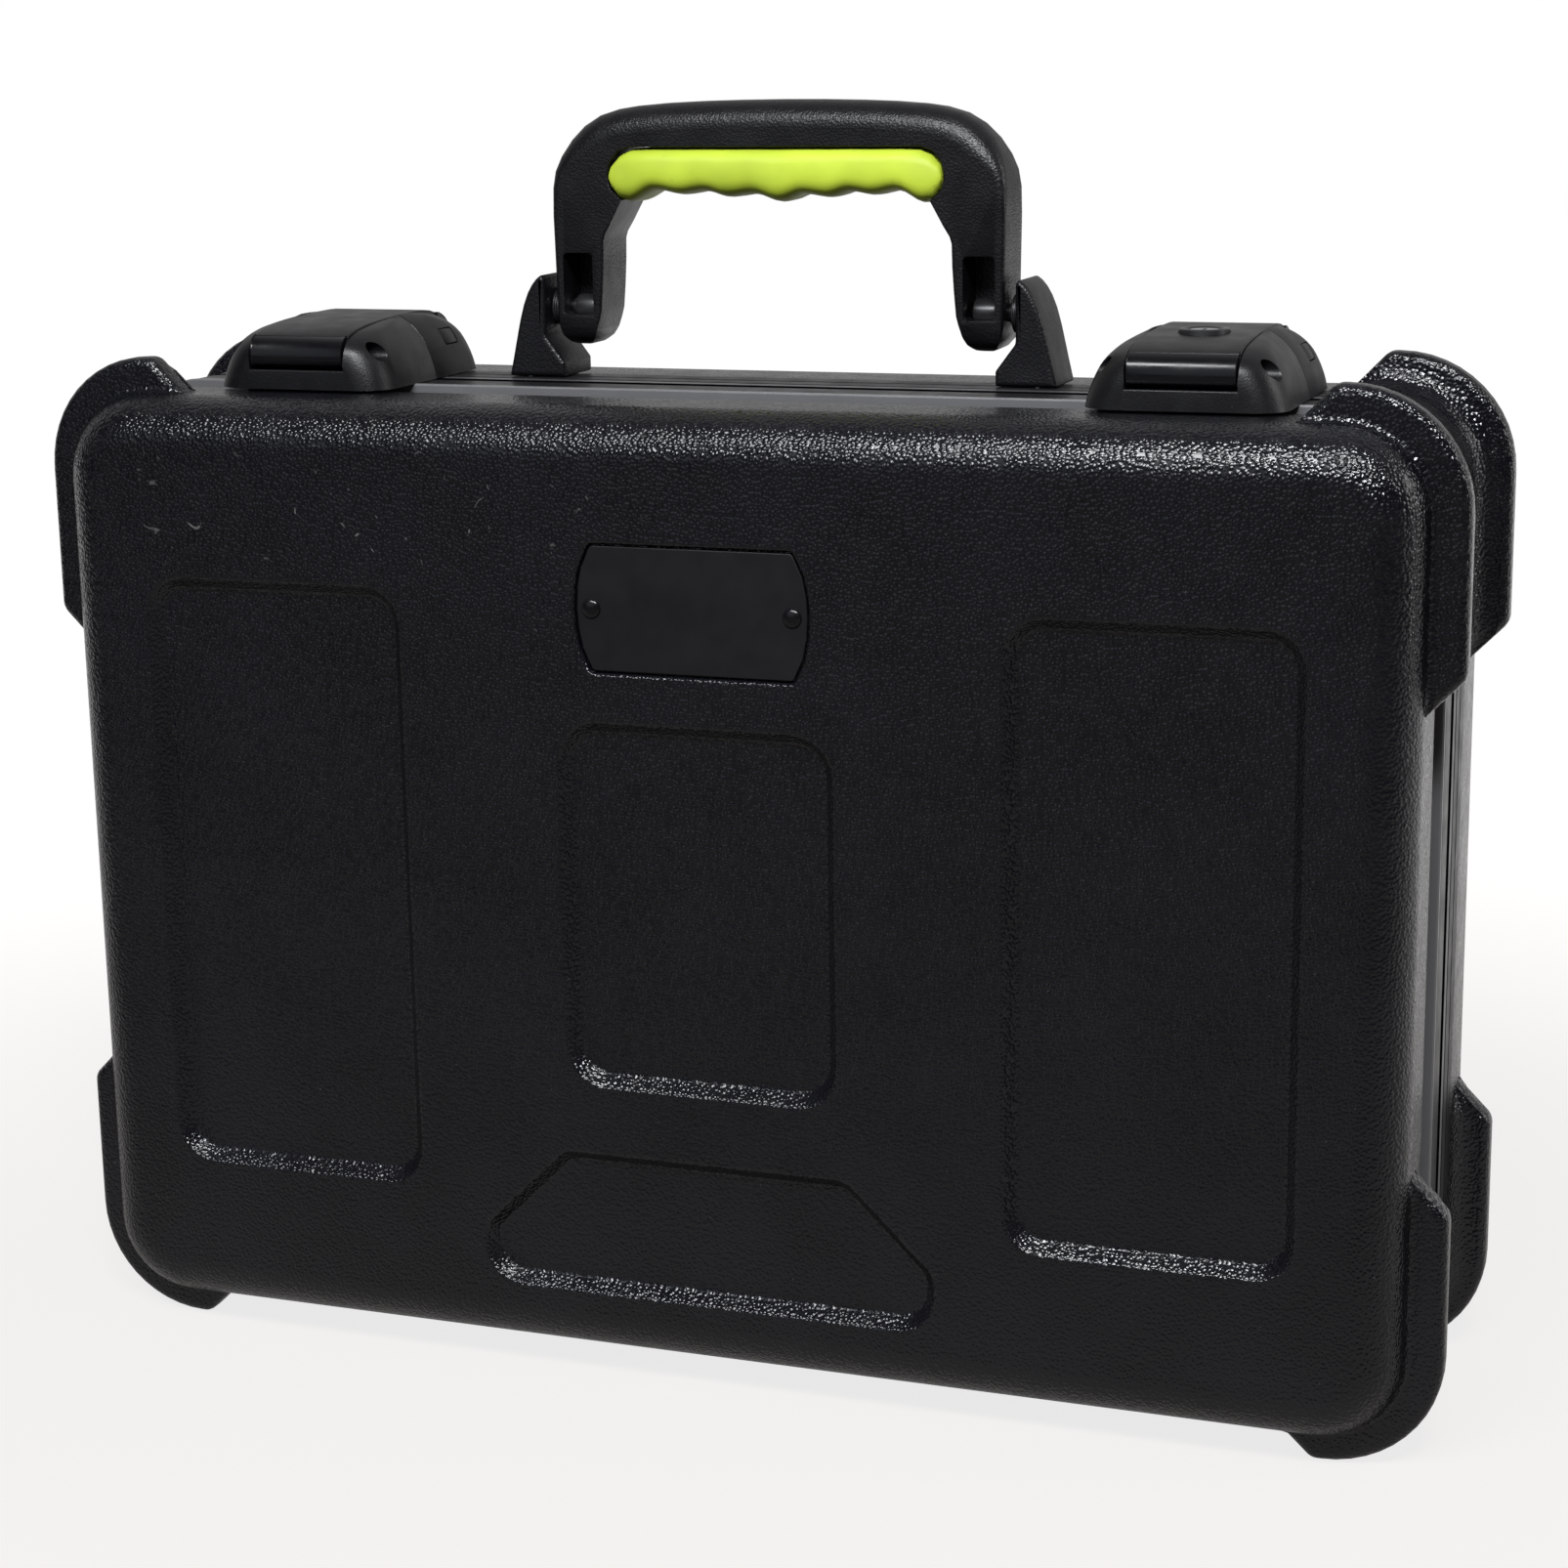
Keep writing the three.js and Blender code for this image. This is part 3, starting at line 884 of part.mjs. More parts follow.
const screwsUnder = (places) => holesAt(places.filter(([x]) => x > 0).map(([x, y]) => [x - LATCH_OFFSET,
  y]), LATCH_SEAT - PASS, screwTip);
const leverPin = prism(circle(leverAxis, LEVER_AXIS_HEIGHT, LEVER_PIN_RADIUS, PIN_SIDES), 'x',
  -LEVER_PIN_HALF, LEVER_PIN_HALF);
for (const [word, way] of [['left', -1], ['right', 1]]) {
  const latch = groupAt(way * LATCH_OFFSET);
  piece(`${word}_latch_housing`, cutAll(backHousing, [boltPass, ...screwsUnder(baseLatchScrews)]),
    BLACK_PLASTIC, latch);
  piece(`${word}_latch_front`, cutAll(frontHousing, screwsUnder(lidLatchScrews)), BLACK_PLASTIC, latch);
  piece(`${word}_latch_lever`, way > 0 ? leverWithLock : lever, BLACK_PLASTIC, latch);
  piece(`${word}_lever_bar`, leverBar, GLOSS_BLACK, latch);
  piece(`${word}_lever_pin`, leverPin, STEEL, latch);
  piece(`${word}_release_button`, button.add(bolt), BLACK_PLASTIC, latch);
  piece(`${word}_release_spring`, spring, STEEL, latch);
  if (way > 0) {
    piece('lock_barrel', lockBarrel, BLACK_METAL, latch);
    piece('lock_plug', lockPlug, STEEL, latch);
  }
}
fasteners('base_latch_screw', baseLatchScrews, (x, y) => insideScrew(x, y));
fasteners('lid_latch_screw', lidLatchScrews, (x, y) => insideScrew(x, y));

// Hinges under the case: a leaf on each half, knuckles on a pin along X.
function leaf(side) {
  const [near, far] = span(side, LEAF_RISE_START, LEAF_REACH);
  const plate = block(-HINGE_HALF_LENGTH, HINGE_HALF_LENGTH, near, far, leafBottom, leafTop);
  const width = (2 * HINGE_HALF_LENGTH) / KNUCKLE_COUNT;
  const rolls = [];
  for (let i = side > 0 ? 0 : 1; i < KNUCKLE_COUNT; i += 2) {
    const start = -HINGE_HALF_LENGTH + i * width + (i > 0 ? GAP * HALF : 0);
    const end = -HINGE_HALF_LENGTH + (i + 1) * width - (i < KNUCKLE_COUNT - 1 ? GAP * HALF : 0);
    rolls.push(prism(circle(0, HINGE_AXIS_HEIGHT, KNUCKLE_RADIUS, PIN_SIDES), 'x', start, end));
    const [low, high] = span(side, 0, LEAF_RISE_START + GAP);
    rolls.push(block(start, end, low, high, leafBottom, leafTop));
  }
  const bore = prism(circle(0, HINGE_AXIS_HEIGHT, HINGE_PIN_RADIUS + BORE_GAP, PIN_SIDES), 'x',
    -HINGE_HALF_LENGTH - PASS, HINGE_HALF_LENGTH + PASS);
  return addAll([plate, ...rolls]).subtract(bore);
}
for (const [word, way] of [['left', -1], ['right', 1]]) {
  const hinge = groupAt(way * HINGE_OFFSET);
  const rivetHoles = (side) => [-HINGE_RIVET_SPREAD, HINGE_RIVET_SPREAD].map((x) => screwHole(x,
    side * HINGE_RIVET_OUT, leafBottom - PASS, leafTop + PASS));
  piece(`${word}_hinge_base_leaf`, cutAll(leaf(1), rivetHoles(1)), BLACK_METAL, hinge);
  piece(`${word}_hinge_lid_leaf`, cutAll(leaf(-1), rivetHoles(-1)), BLACK_METAL, hinge);
  piece(`${word}_hinge_pin`, prism(circle(0, HINGE_AXIS_HEIGHT, HINGE_PIN_RADIUS, PIN_SIDES), 'x',
    -HINGE_HALF_LENGTH, HINGE_HALF_LENGTH), STEEL, hinge);
}
fasteners('base_hinge_rivet', hingePlaces(1), hingeRivet);
fasteners('lid_hinge_rivet', hingePlaces(-1), hingeRivet);

export default group;
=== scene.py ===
import math
import bpy
import bmesh
from mathutils import Matrix, Vector
from mathutils.geometry import delaunay_2d_cdt


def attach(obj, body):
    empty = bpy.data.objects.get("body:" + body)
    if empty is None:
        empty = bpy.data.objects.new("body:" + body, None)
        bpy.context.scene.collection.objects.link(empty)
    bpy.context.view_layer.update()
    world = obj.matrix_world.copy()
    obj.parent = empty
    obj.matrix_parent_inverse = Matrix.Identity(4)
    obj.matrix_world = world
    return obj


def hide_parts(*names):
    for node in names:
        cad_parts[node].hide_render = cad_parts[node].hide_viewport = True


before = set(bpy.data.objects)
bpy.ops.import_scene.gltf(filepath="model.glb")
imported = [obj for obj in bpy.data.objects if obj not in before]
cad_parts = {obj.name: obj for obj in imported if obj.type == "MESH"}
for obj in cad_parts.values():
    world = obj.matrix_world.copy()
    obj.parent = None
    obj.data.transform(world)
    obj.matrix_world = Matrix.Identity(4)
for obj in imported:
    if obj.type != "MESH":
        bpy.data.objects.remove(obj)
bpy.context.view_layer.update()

scene = bpy.context.scene
MM = 0.001


# ---------------------------------------------------------------- node helpers
def math_node(tree, operation, first, second):
    node = tree.nodes.new("ShaderNodeMath")
    node.operation = operation
    tree.links.new(first, node.inputs[0])
    tree.links.new(second, node.inputs[1])
    return node.outputs[0]


def map_range(tree, value, low, high, to_low, to_high, interpolation="LINEAR"):
    node = tree.nodes.new("ShaderNodeMapRange")
    node.interpolation_type = interpolation
    node.inputs["From Min"].default_value = low
    node.inputs["From Max"].default_value = high
    node.inputs["To Min"].default_value = to_low
    node.inputs["To Max"].default_value = to_high
    tree.links.new(value, node.inputs["Value"])
    return node.outputs["Result"]


def split_axes(tree, vector):
    node = tree.nodes.new("ShaderNodeSeparateXYZ")
    tree.links.new(vector, node.inputs["Vector"])
    return node.outputs


# ---------------------------------------------------------------- materials
STRIPE_SPAN = 40.0                      # mm on either side of the meeting plane
# The grey that glossy stripes are painted towards: a painted highlight.
PAINTED_SHEEN_TONE = (0.13, 0.13, 0.135)


def look(name, colour, rough, metal=0.0, specular=0.5, grain=None, spots=None, worn=None, sheen=0.0,
         stripes=None, scuffs=None):
    """A node material. grain lists (kind, size in mm, height in mm). spots is a second colour, the noise level
    from which it shows and its size in mm; worn is the same with a stretch, for fine scratches. stripes lists
    (y in mm, gloss from there on); the gloss is real, and the glossier a stripe is, the lighter its colour is
    painted, a painted highlight. scuffs is the colour of thin marks near the lid's top left."""
    mat = bpy.data.materials.new(name)
    mat.use_nodes = True
    tree = mat.node_tree
    nodes, links = tree.nodes, tree.links
    shader = nodes["Principled BSDF"]
    shader.inputs["Metallic"].default_value = metal
    shader.inputs["Specular IOR Level"].default_value = specular
    if sheen:
        shader.inputs["Sheen Weight"].default_value = sheen
        shader.inputs["Sheen Roughness"].default_value = 0.5
    where = nodes.new("ShaderNodeTexCoord").outputs["Object"]

    def noise(size, detail=3.0, stretch=None):
        node = nodes.new("ShaderNodeTexNoise")
        node.inputs["Scale"].default_value = 1000.0 / size
        node.inputs["Detail"].default_value = detail
        vector = where
        if stretch:
            shift = nodes.new("ShaderNodeMapping")
            shift.inputs["Scale"].default_value = stretch
            links.new(where, shift.inputs["Vector"])
            vector = shift.outputs["Vector"]
        links.new(vector, node.inputs["Vector"])
        return node.outputs["Fac"]

    def remap(value, low, high, to_low, to_high):
        return map_range(tree, value, low, high, to_low, to_high)

    def blend(share, first, second):
        node = nodes.new("ShaderNodeMix")
        node.data_type = "RGBA"
        links.new(share, node.inputs["Factor"])
        for socket, value in (("A", first), ("B", second)):
            target = [s for s in node.inputs if s.name == socket and s.type == "RGBA"][0]
            if isinstance(value, tuple):
                target.default_value = (*value, 1.0)
            else:
                links.new(value, target)
        return [s for s in node.outputs if s.type == "RGBA"][0]

    darker = tuple(c * 0.82 for c in colour)
    lighter = tuple(min(1.0, c * 1.18) for c in colour)
    tone = blend(remap(noise(38.0), 0.35, 0.65, 0.0, 1.0), darker, lighter)
    if spots:
        second, share, size = spots
        tone = blend(remap(noise(size, 6.0), share, share + 0.1, 0.0, 1.0), tone, second)
    if worn:
        second, share, size, stretch = worn
        tone = blend(remap(noise(size, 8.0, stretch), share, share + 0.12, 0.0, 0.8), tone, second)
    if scuffs:
        # Thin level lines of one noise, broken by another, inside a window of the lid's face.
        axes = split_axes(tree, where)
        line = noise(17.0, 1.0)
        total = remap(line, 0.492, 0.497, 0.0, 1.0)
        for part in (remap(line, 0.503, 0.508, 1.0, 0.0),
                     remap(noise(5.0, 2.0), 0.60, 0.66, 0.0, 1.0),
                     remap(axes["X"], -0.205, -0.18, 0.0, 1.0), remap(axes["X"], -0.06, -0.01, 1.0, 0.0),
                     remap(axes["Z"], 0.272, 0.285, 0.0, 1.0), remap(axes["Z"], 0.312, 0.318, 1.0, 0.0),
                     remap(axes["Y"], -0.062, -0.058, 1.0, 0.0)):
            total = math_node(tree, "MULTIPLY", total, part)
        tone = blend(total, tone, scuffs)
    if stripes:
        ramp = nodes.new("ShaderNodeValToRGB")
        ramp.color_ramp.interpolation = "CONSTANT"
        while len(ramp.color_ramp.elements) < len(stripes):
            ramp.color_ramp.elements.new(0.5)
        for element, (at, gloss) in zip(ramp.color_ramp.elements, stripes):
            element.position = (at + STRIPE_SPAN) / (2 * STRIPE_SPAN)
            element.color = (gloss, gloss, gloss, 1.0)
        across = split_axes(tree, where)["Y"]
        links.new(remap(across, -STRIPE_SPAN * MM, STRIPE_SPAN * MM, 0.0, 1.0), ramp.inputs["Fac"])
        links.new(ramp.outputs["Color"], shader.inputs["Specular IOR Level"])
        # Glossier stripes are painted lighter as well: a painted highlight on top of the real gloss.
        tone = blend(ramp.outputs["Color"], tone, PAINTED_SHEEN_TONE)
    links.new(tone, shader.inputs["Base Color"])
    links.new(remap(noise(9.0, 5.0), 0.3, 0.7, rough - 0.05, rough + 0.07), shader.inputs["Roughness"])
    last = None
    for kind, size, height in grain or ():
        if kind == "cells":
            node = nodes.new("ShaderNodeTexVoronoi")
            node.feature = "SMOOTH_F1"
            node.inputs["Scale"].default_value = 1000.0 / size
            node.inputs["Smoothness"].default_value = 0.25
            links.new(where, node.inputs["Vector"])
            value = remap(node.outputs["Distance"], 0.0, 0.75, 1.0, 0.0)
        elif kind == "lines":
            value = noise(size, 4.0, (0.04, 1.0, 1.0))
        else:
            value = noise(size, 2.0)
        bump = nodes.new("ShaderNodeBump")
        bump.inputs["Strength"].default_value = 1.0
        bump.inputs["Distance"].default_value = height * MM
        links.new(value, bump.inputs["Height"])
        if last:
            links.new(last, bump.inputs["Normal"])
        last = bump.outputs["Normal"]
    if last:
        links.new(last, shader.inputs["Normal"])
    return mat


SHELL = look("black_moulded_shell", (0.0034, 0.0036, 0.0052), 0.20,
             grain=[("cells", 1.2, 0.26)],
             spots=((0.12, 0.12, 0.12), 0.73, 1.2), scuffs=(0.10, 0.10, 0.10))
BAND = look("black_anodised_band", (0.0025, 0.0025, 0.0030), 0.34,
            grain=[("lines", 0.5, 0.012)], worn=((0.03, 0.03, 0.032), 0.70, 2.2, (0.05, 1.0, 1.0)),
            stripes=[(-40.0, 0.0), (-17.9, 0.9), (-14.9, 0.08), (-2.0, 0.0), (3.8, 0.45), (8.0, 0.02),
                     (9.8, 0.07), (18.2, 0.05)])
METAL = look("dark_metal", (0.05, 0.05, 0.052), 0.34, metal=0.75,
             grain=[("fine", 0.5, 0.01)], worn=((0.14, 0.14, 0.145), 0.66, 1.5, (1.0, 1.0, 1.0)))
LATCH = look("black_moulded_latch", (0.0030, 0.0030, 0.0040), 0.38, specular=0.36,
             grain=[("cells", 0.7, 0.03)], spots=((0.08, 0.08, 0.08), 0.71, 0.9))
HANDLE = look("black_moulded_handle", (0.0036, 0.0036, 0.0047), 0.36, specular=0.36,
              grain=[("cells", 0.85, 0.09)], spots=((0.06, 0.06, 0.06), 0.74, 1.0))
GLOSS = look("gloss_black_bar", (0.004, 0.004, 0.005), 0.2, specular=0.35,
             grain=[("fine", 4.0, 0.01)], spots=((0.05, 0.05, 0.05), 0.72, 0.9))
PLATE = look("matt_black_plate", (0.0045, 0.0045, 0.0056), 0.5, specular=0.3,
             grain=[("fine", 0.35, 0.006)], spots=((0.16, 0.16, 0.16), 0.76, 0.9))
GRIP = look("lime_green_grip", (0.45, 0.57, 0.042), 0.52, specular=0.4,
            grain=[("fine", 0.5, 0.02)], spots=((0.40, 0.53, 0.043), 0.66, 5.0))
FOAM = look("grey_case_foam", (0.028, 0.028, 0.030), 0.95, specular=0.1, sheen=0.25,
            grain=[("cells", 1.2, 0.5), ("fine", 0.5, 0.2)], spots=((0.045, 0.045, 0.048), 0.6, 0.8))
STEEL = look("bright_steel", (0.55, 0.56, 0.57), 0.3, metal=1.0,
             grain=[("fine", 0.3, 0.006)], worn=((0.32, 0.32, 0.33), 0.6, 1.5, (1.0, 1.0, 0.3)))


# ---------------------------------------------------------------- mesh helpers
def outline(corners, inset=0.0, steps=6):
    """A ring from (a, b, radius) corners, counter-clockwise, moved in by inset. A radius of 0 is one plain
    point."""
    points, count = [], len(corners)
    for i, (a, b, radius) in enumerate(corners):
        before, here = Vector(corners[i - 1][:2]), Vector((a, b))
        after = Vector(corners[(i + 1) % count][:2])
        d0, d1 = (here - before).normalized(), (after - here).normalized()
        turn = math.atan2(d0.x * d1.y - d0.y * d1.x, d0.dot(d1))
        n0, n1 = Vector((-d0.y, d0.x)), Vector((-d1.y, d1.x))
        corner = here + (n0 + n1).normalized() * (inset / max(math.cos(turn / 2), 0.3))
        if radius == 0:
            points.append(tuple(corner))
            continue
        way = 1 if turn > 0 else -1
        r = max(radius - inset * way, 0.05)
        centre = corner - d0 * (r * math.tan(abs(turn) / 2)) + n0 * (r * way)
        first = math.atan2(-n0.y * way, -n0.x * way)
        for k in range(steps + 1):
            angle = first + turn * k / steps
            points.append((centre.x + r * math.cos(angle), centre.y + r * math.sin(angle)))
    return points


def box_corners(a0, a1, b0, b1, r):
    """The corners of a rectangle, for outline."""
    return [(a1, b0, r), (a1, b1, r), (a0, b1, r), (a0, b0, r)]


def place(axis, point, depth):
    """A point in space from its place in a section and its depth along the axis."""
    a, b = point
    return {"x": (depth, a, b), "y": (a, depth, b), "z": (a, b, depth)}[axis]


class Body:
    """Vertices in millimetres and faces, gathered from several lofts."""

    def __init__(self):
        self.verts, self.faces = [], []

    def ring(self, points):
        start = len(self.verts)
        self.verts.extend(points)
        return list(range(start, start + len(points)))

    def strip(self, first, second):
        n = len(first)
        for j in range(n):
            k = (j + 1) % n
            self.faces.append((first[j], first[k], second[k], second[j]))

    def loft(self, rings, caps=(True, True), loop=False):
        rows = [self.ring(r) for r in rings]
        for first, second in zip(rows, rows[1:]):
            self.strip(first, second)
        if loop:
            self.strip(rows[-1], rows[0])
        else:
            if caps[0]:
                self.faces.append(tuple(reversed(rows[0])))
            if caps[1]:
                self.faces.append(tuple(rows[-1]))
        return rows

    def fill(self, outer, holes, axis="y"):
        """Triangles between a ring and the rings of its holes, all given as rows of vertex numbers."""
        keep = {"y": (0, 2), "x": (1, 2), "z": (0, 1)}[axis]
        flat = [tuple(self.verts[i][k] for k in keep) for row in [outer, *holes] for i in row]
        index = [i for row in [outer, *holes] for i in row]
        edges, start = [], 0
        for row in [outer, *holes]:
            n = len(row)
            edges += [(start + j, start + (j + 1) % n) for j in range(n)]
            start += n
        coords, _, tris, origin, _, _ = delaunay_2d_cdt([Vector(p) for p in flat], edges, [], 1, 1e-6)
        rings, start = [], len(outer)
        for row in holes:
            rings.append(flat[start:start + len(row)])
            start += len(row)
        back = [index[o[0]] if o else None for o in origin]
        for tri in tris:
            middle = sum((coords[i] for i in tri), Vector((0, 0))) / len(tri)
            if not any(inside(middle, ring) for ring in rings):
                self.faces.append(tuple(back[i] for i in tri))


def join(body, other):
    """Adds one body to another."""
    base = len(body.verts)
    body.verts += other.verts
    body.faces += [tuple(base + i for i in face) for face in other.faces]


def inside(p, ring):
    """Whether a point lies inside a ring."""
    hit = False
    for (x0, z0), (x1, z1) in zip(ring, ring[1:] + ring[:1]):
        if (z0 > p.y) != (z1 > p.y) and p.x < x0 + (p.y - z0) * (x1 - x0) / (z1 - z0):
            hit = not hit
    return hit


def make(name, body, material, angle=38.0):
    """An object from a body, shaded smooth up to an angle in degrees."""
    mesh = bpy.data.meshes.new(name)
    mesh.from_pydata([(x * MM, y * MM, z * MM) for x, y, z in body.verts], [], body.faces)
    bm = bmesh.new()
    bm.from_mesh(mesh)
    bmesh.ops.remove_doubles(bm, verts=bm.verts, dist=1e-7)
    bmesh.ops.recalc_face_normals(bm, faces=bm.faces)
    bm.to_mesh(mesh)
    bm.free()
    mesh.materials.append(material)
    obj = bpy.data.objects.new(name, mesh)
    scene.collection.objects.link(obj)
    smooth(obj, angle)
    return obj


def smooth(obj, angle=38.0):
    for face in obj.data.polygons:
        face.use_smooth = True
    obj.data.set_sharp_from_angle(angle=math.radians(angle))


def bake(obj):
    """Applies an object's modifiers."""
    graph = bpy.context.evaluated_depsgraph_get()
    mesh = bpy.data.meshes.new_from_object(obj.evaluated_get(graph))
    obj.modifiers.clear()
    obj.data = mesh


def combine(obj, tool, operation="DIFFERENCE"):
    """Cuts obj with a tool, or unites or intersects the two. The tool is then thrown away."""
    mod = obj.modifiers.new("cut", "BOOLEAN")
    mod.operation, mod.object, mod.solver = operation, tool, "EXACT"
    bake(obj)
    bpy.data.objects.remove(tool)


def cut(obj, body, operation="DIFFERENCE"):
    """As combine, with a tool made from a body."""
    combine(obj, make("tool", body, obj.data.materials[0]), operation)


def append(obj, body):
    """Adds a body to an object's mesh as it is."""
    extra = make("extra", body, obj.data.materials[0])
    bm = bmesh.new()
    bm.from_mesh(obj.data)
    bm.from_mesh(extra.data)
    bm.to_mesh(obj.data)
    bm.free()
    bpy.data.objects.remove(extra)


def bevel(obj, width, segments, angle):
    mod = obj.modifiers.new("edge", "BEVEL")
    mod.width, mod.segments, mod.limit_method = width * MM, segments, "ANGLE"
    mod.angle_limit = math.radians(angle)
    mod.use_clamp_overlap = True
    bake(obj)


def settle(obj, body, slot, *nodes):
    """Puts a piece on its body, in place of CAD nodes. slot is not used."""
    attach(obj, body)
    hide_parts(*nodes)
    return obj


def slab(corners, axis, near, far, edge=1.0, steps=6, edge_steps=4, edge_far=None):
    """An outline pulled along an axis, with rounded edges."""
    body = Body()
    edge_far = edge if edge_far is None else edge_far

    def rounding(level, depth, way):
        rows = [[place(axis, p, level) for p in outline(corners, depth * 1.3, steps)]]
        for k in range(edge_steps + 1):
            angle = math.pi / 2 * k / edge_steps
            rows.append([place(axis, p, level + way * depth * (1 - math.cos(angle)))
                         for p in outline(corners, depth * (1 - math.sin(angle)), steps)])
        return rows

    rings = rounding(near, edge, 1) + rounding(far, edge_far, -1)[::-1]
    body.loft(rings)
    return body


def lathe(profile, axis, a, b, sides=32):
    """A turned body: profile lists (distance along the axis, radius)."""
    body = Body()
    rings = []
    angles = [2 * math.pi * k / sides for k in range(sides)]
    for depth, radius in profile:
        rings.append([place(axis, (a + radius * math.cos(angle), b + radius * math.sin(angle)), depth)
                      for angle in angles])
    body.loft(rings)
    return body


def mix(table, value):
    """Value of a table of (position, value) rows, in straight lines between them."""
    if value <= table[0][0]:
        return table[0][1]
    for (x0, y0), (x1, y1) in zip(table, table[1:]):
        if value <= x1:
            t = (value - x0) / (x1 - x0)
            return y0 + (y1 - y0) * t
    return table[-1][1]


def curve(table, value):
    """As mix, but bending smoothly through the rows."""
    if value <= table[0][0] or value >= table[-1][0]:
        return table[0][1] if value <= table[0][0] else table[-1][1]
    i = max(k for k in range(len(table) - 1) if table[k][0] <= value)
    slopes = [(b[1] - a[1]) / (b[0] - a[0]) for a, b in zip(table, table[1:])]

    def tangent(k):
        if k == 0 or k == len(table) - 1:
            return slopes[0] if k == 0 else slopes[-1]
        before, after = slopes[k - 1], slopes[k]
        return 0.0 if before * after <= 0 else 2 * before * after / (before + after)

    (x0, y0), (x1, y1) = table[i], table[i + 1]
    t, run = (value - x0) / (x1 - x0), x1 - x0
    return ((2 * t ** 3 - 3 * t * t + 1) * y0 + (t ** 3 - 2 * t * t + t) * run * tangent(i)
            + (3 * t * t - 2 * t ** 3) * y1 + (t ** 3 - t * t) * run * tangent(i + 1))


def soft(table, value):
    """As mix, but with level tangents at each row, for rounded waves."""
    for (x0, y0), (x1, y1) in zip(table, table[1:]):
        if x0 <= value <= x1:
            t = (value - x0) / (x1 - x0)
            return y0 + (y1 - y0) * t * t * (3 - 2 * t)
    return table[0][1] if value < table[0][0] else table[-1][1]


# ---------------------------------------------------------------- shells
SHELL_X, SHELL_LOW, SHELL_HIGH, SHELL_R = 228.2, 10.7, 330.7, 28.0
RIM, LID_RIM, FACE, EDGE_R = 28.5, 32.5, 69.0, 16.0
SHELL_CORNERS = box_corners(-SHELL_X, SHELL_X, SHELL_LOW, SHELL_HIGH, SHELL_R)
CENTRE_Z, HALF_HEIGHT = 170.7, 170.7
PANEL_DEPTH, PANEL_RUN, PANEL_ROUND = 4.5, 3.8, 0.75
PANEL_SLOPE = PANEL_DEPTH / PANEL_RUN
PANEL_INSETS = [-1.6, -0.75, -0.45, -0.15, 0.15, 0.45, 0.75, 3.05, 3.35, 3.65, 3.95, 4.25, 4.55, 5.6]
PANELS = [
    box_corners(102.0, 195.7, 65.3, 271.2, 13.0),
    box_corners(-195.7, -102.0, 65.3, 271.2, 13.0),
    box_corners(-47.1, 47.1, 106.8, 230.4, 14.0),
    [(79.5, 33.8, 13.0), (79.5, 54.0, 10.0), (49.6, 83.5, 9.0), (-49.6, 83.5, 9.0), (-79.5, 54.0, 10.0),
     (-79.5, 33.8, 13.0)],
]
PLATE_Z = 267.5
PLATE_CORNERS = [(34.0, 247.3, 1.6), (37.3, 254.5, 0), (38.6, 261.0, 0), (39.0, PLATE_Z, 0), (38.6, 274.0, 0),
                 (37.3, 280.5, 0), (34.0, 287.7, 1.6), (-34.0, 287.7, 1.6), (-37.3, 280.5, 0),
                 (-38.6, 274.0, 0), (-39.0, PLATE_Z, 0), (-38.6, 261.0, 0), (-37.3, 254.5, 0),
                 (-34.0, 247.3, 1.6)]
PLATE_RECESS = [(-2.4, 0.0), (-1.7, 0.0), (-1.5, 0.05), (-1.2, 0.2), (-0.9, 0.55), (-0.75, 1.0), (-0.7, 1.6),
                (-0.6, 2.2), (-0.3, 2.4), (0.6, 2.4)]
# Bumpers are measured from the middle of the case, and their fillets follow the shell's outline round its corner.
BUMPER_NEAR, BUMPER_FAR, UPPER_PEAK = 42.8, 52.4, 171.6
SHELL_UP, ARC_X, ARC_Z = 160.0, 200.2, 132.0


def sink(t):
    """Depth of a sunk panel at a distance t inside its outline."""
    if t < -PANEL_ROUND:
        return 0.0
    if t < PANEL_ROUND:
        return PANEL_SLOPE * (t + PANEL_ROUND) ** 2 / (4 * PANEL_ROUND)
    if t < PANEL_RUN - PANEL_ROUND:
        return PANEL_SLOPE * t
    if t < PANEL_RUN + PANEL_ROUND:
        return PANEL_DEPTH - PANEL_SLOPE * (PANEL_RUN + PANEL_ROUND - t) ** 2 / (4 * PANEL_ROUND)
    return PANEL_DEPTH


def sunk(body, at, corners, steps, levels):
    """A hollow in the face, from (inset, depth) levels. Gives its outer ring, where the face needs a hole."""
    rows = [body.ring(at(outline(corners, inset, steps), FACE - depth)) for inset, depth in levels]
    for first, second in zip(rows, rows[1:]):
        body.strip(first, second)
    body.faces.append(tuple(rows[-1]))
    return rows[0]


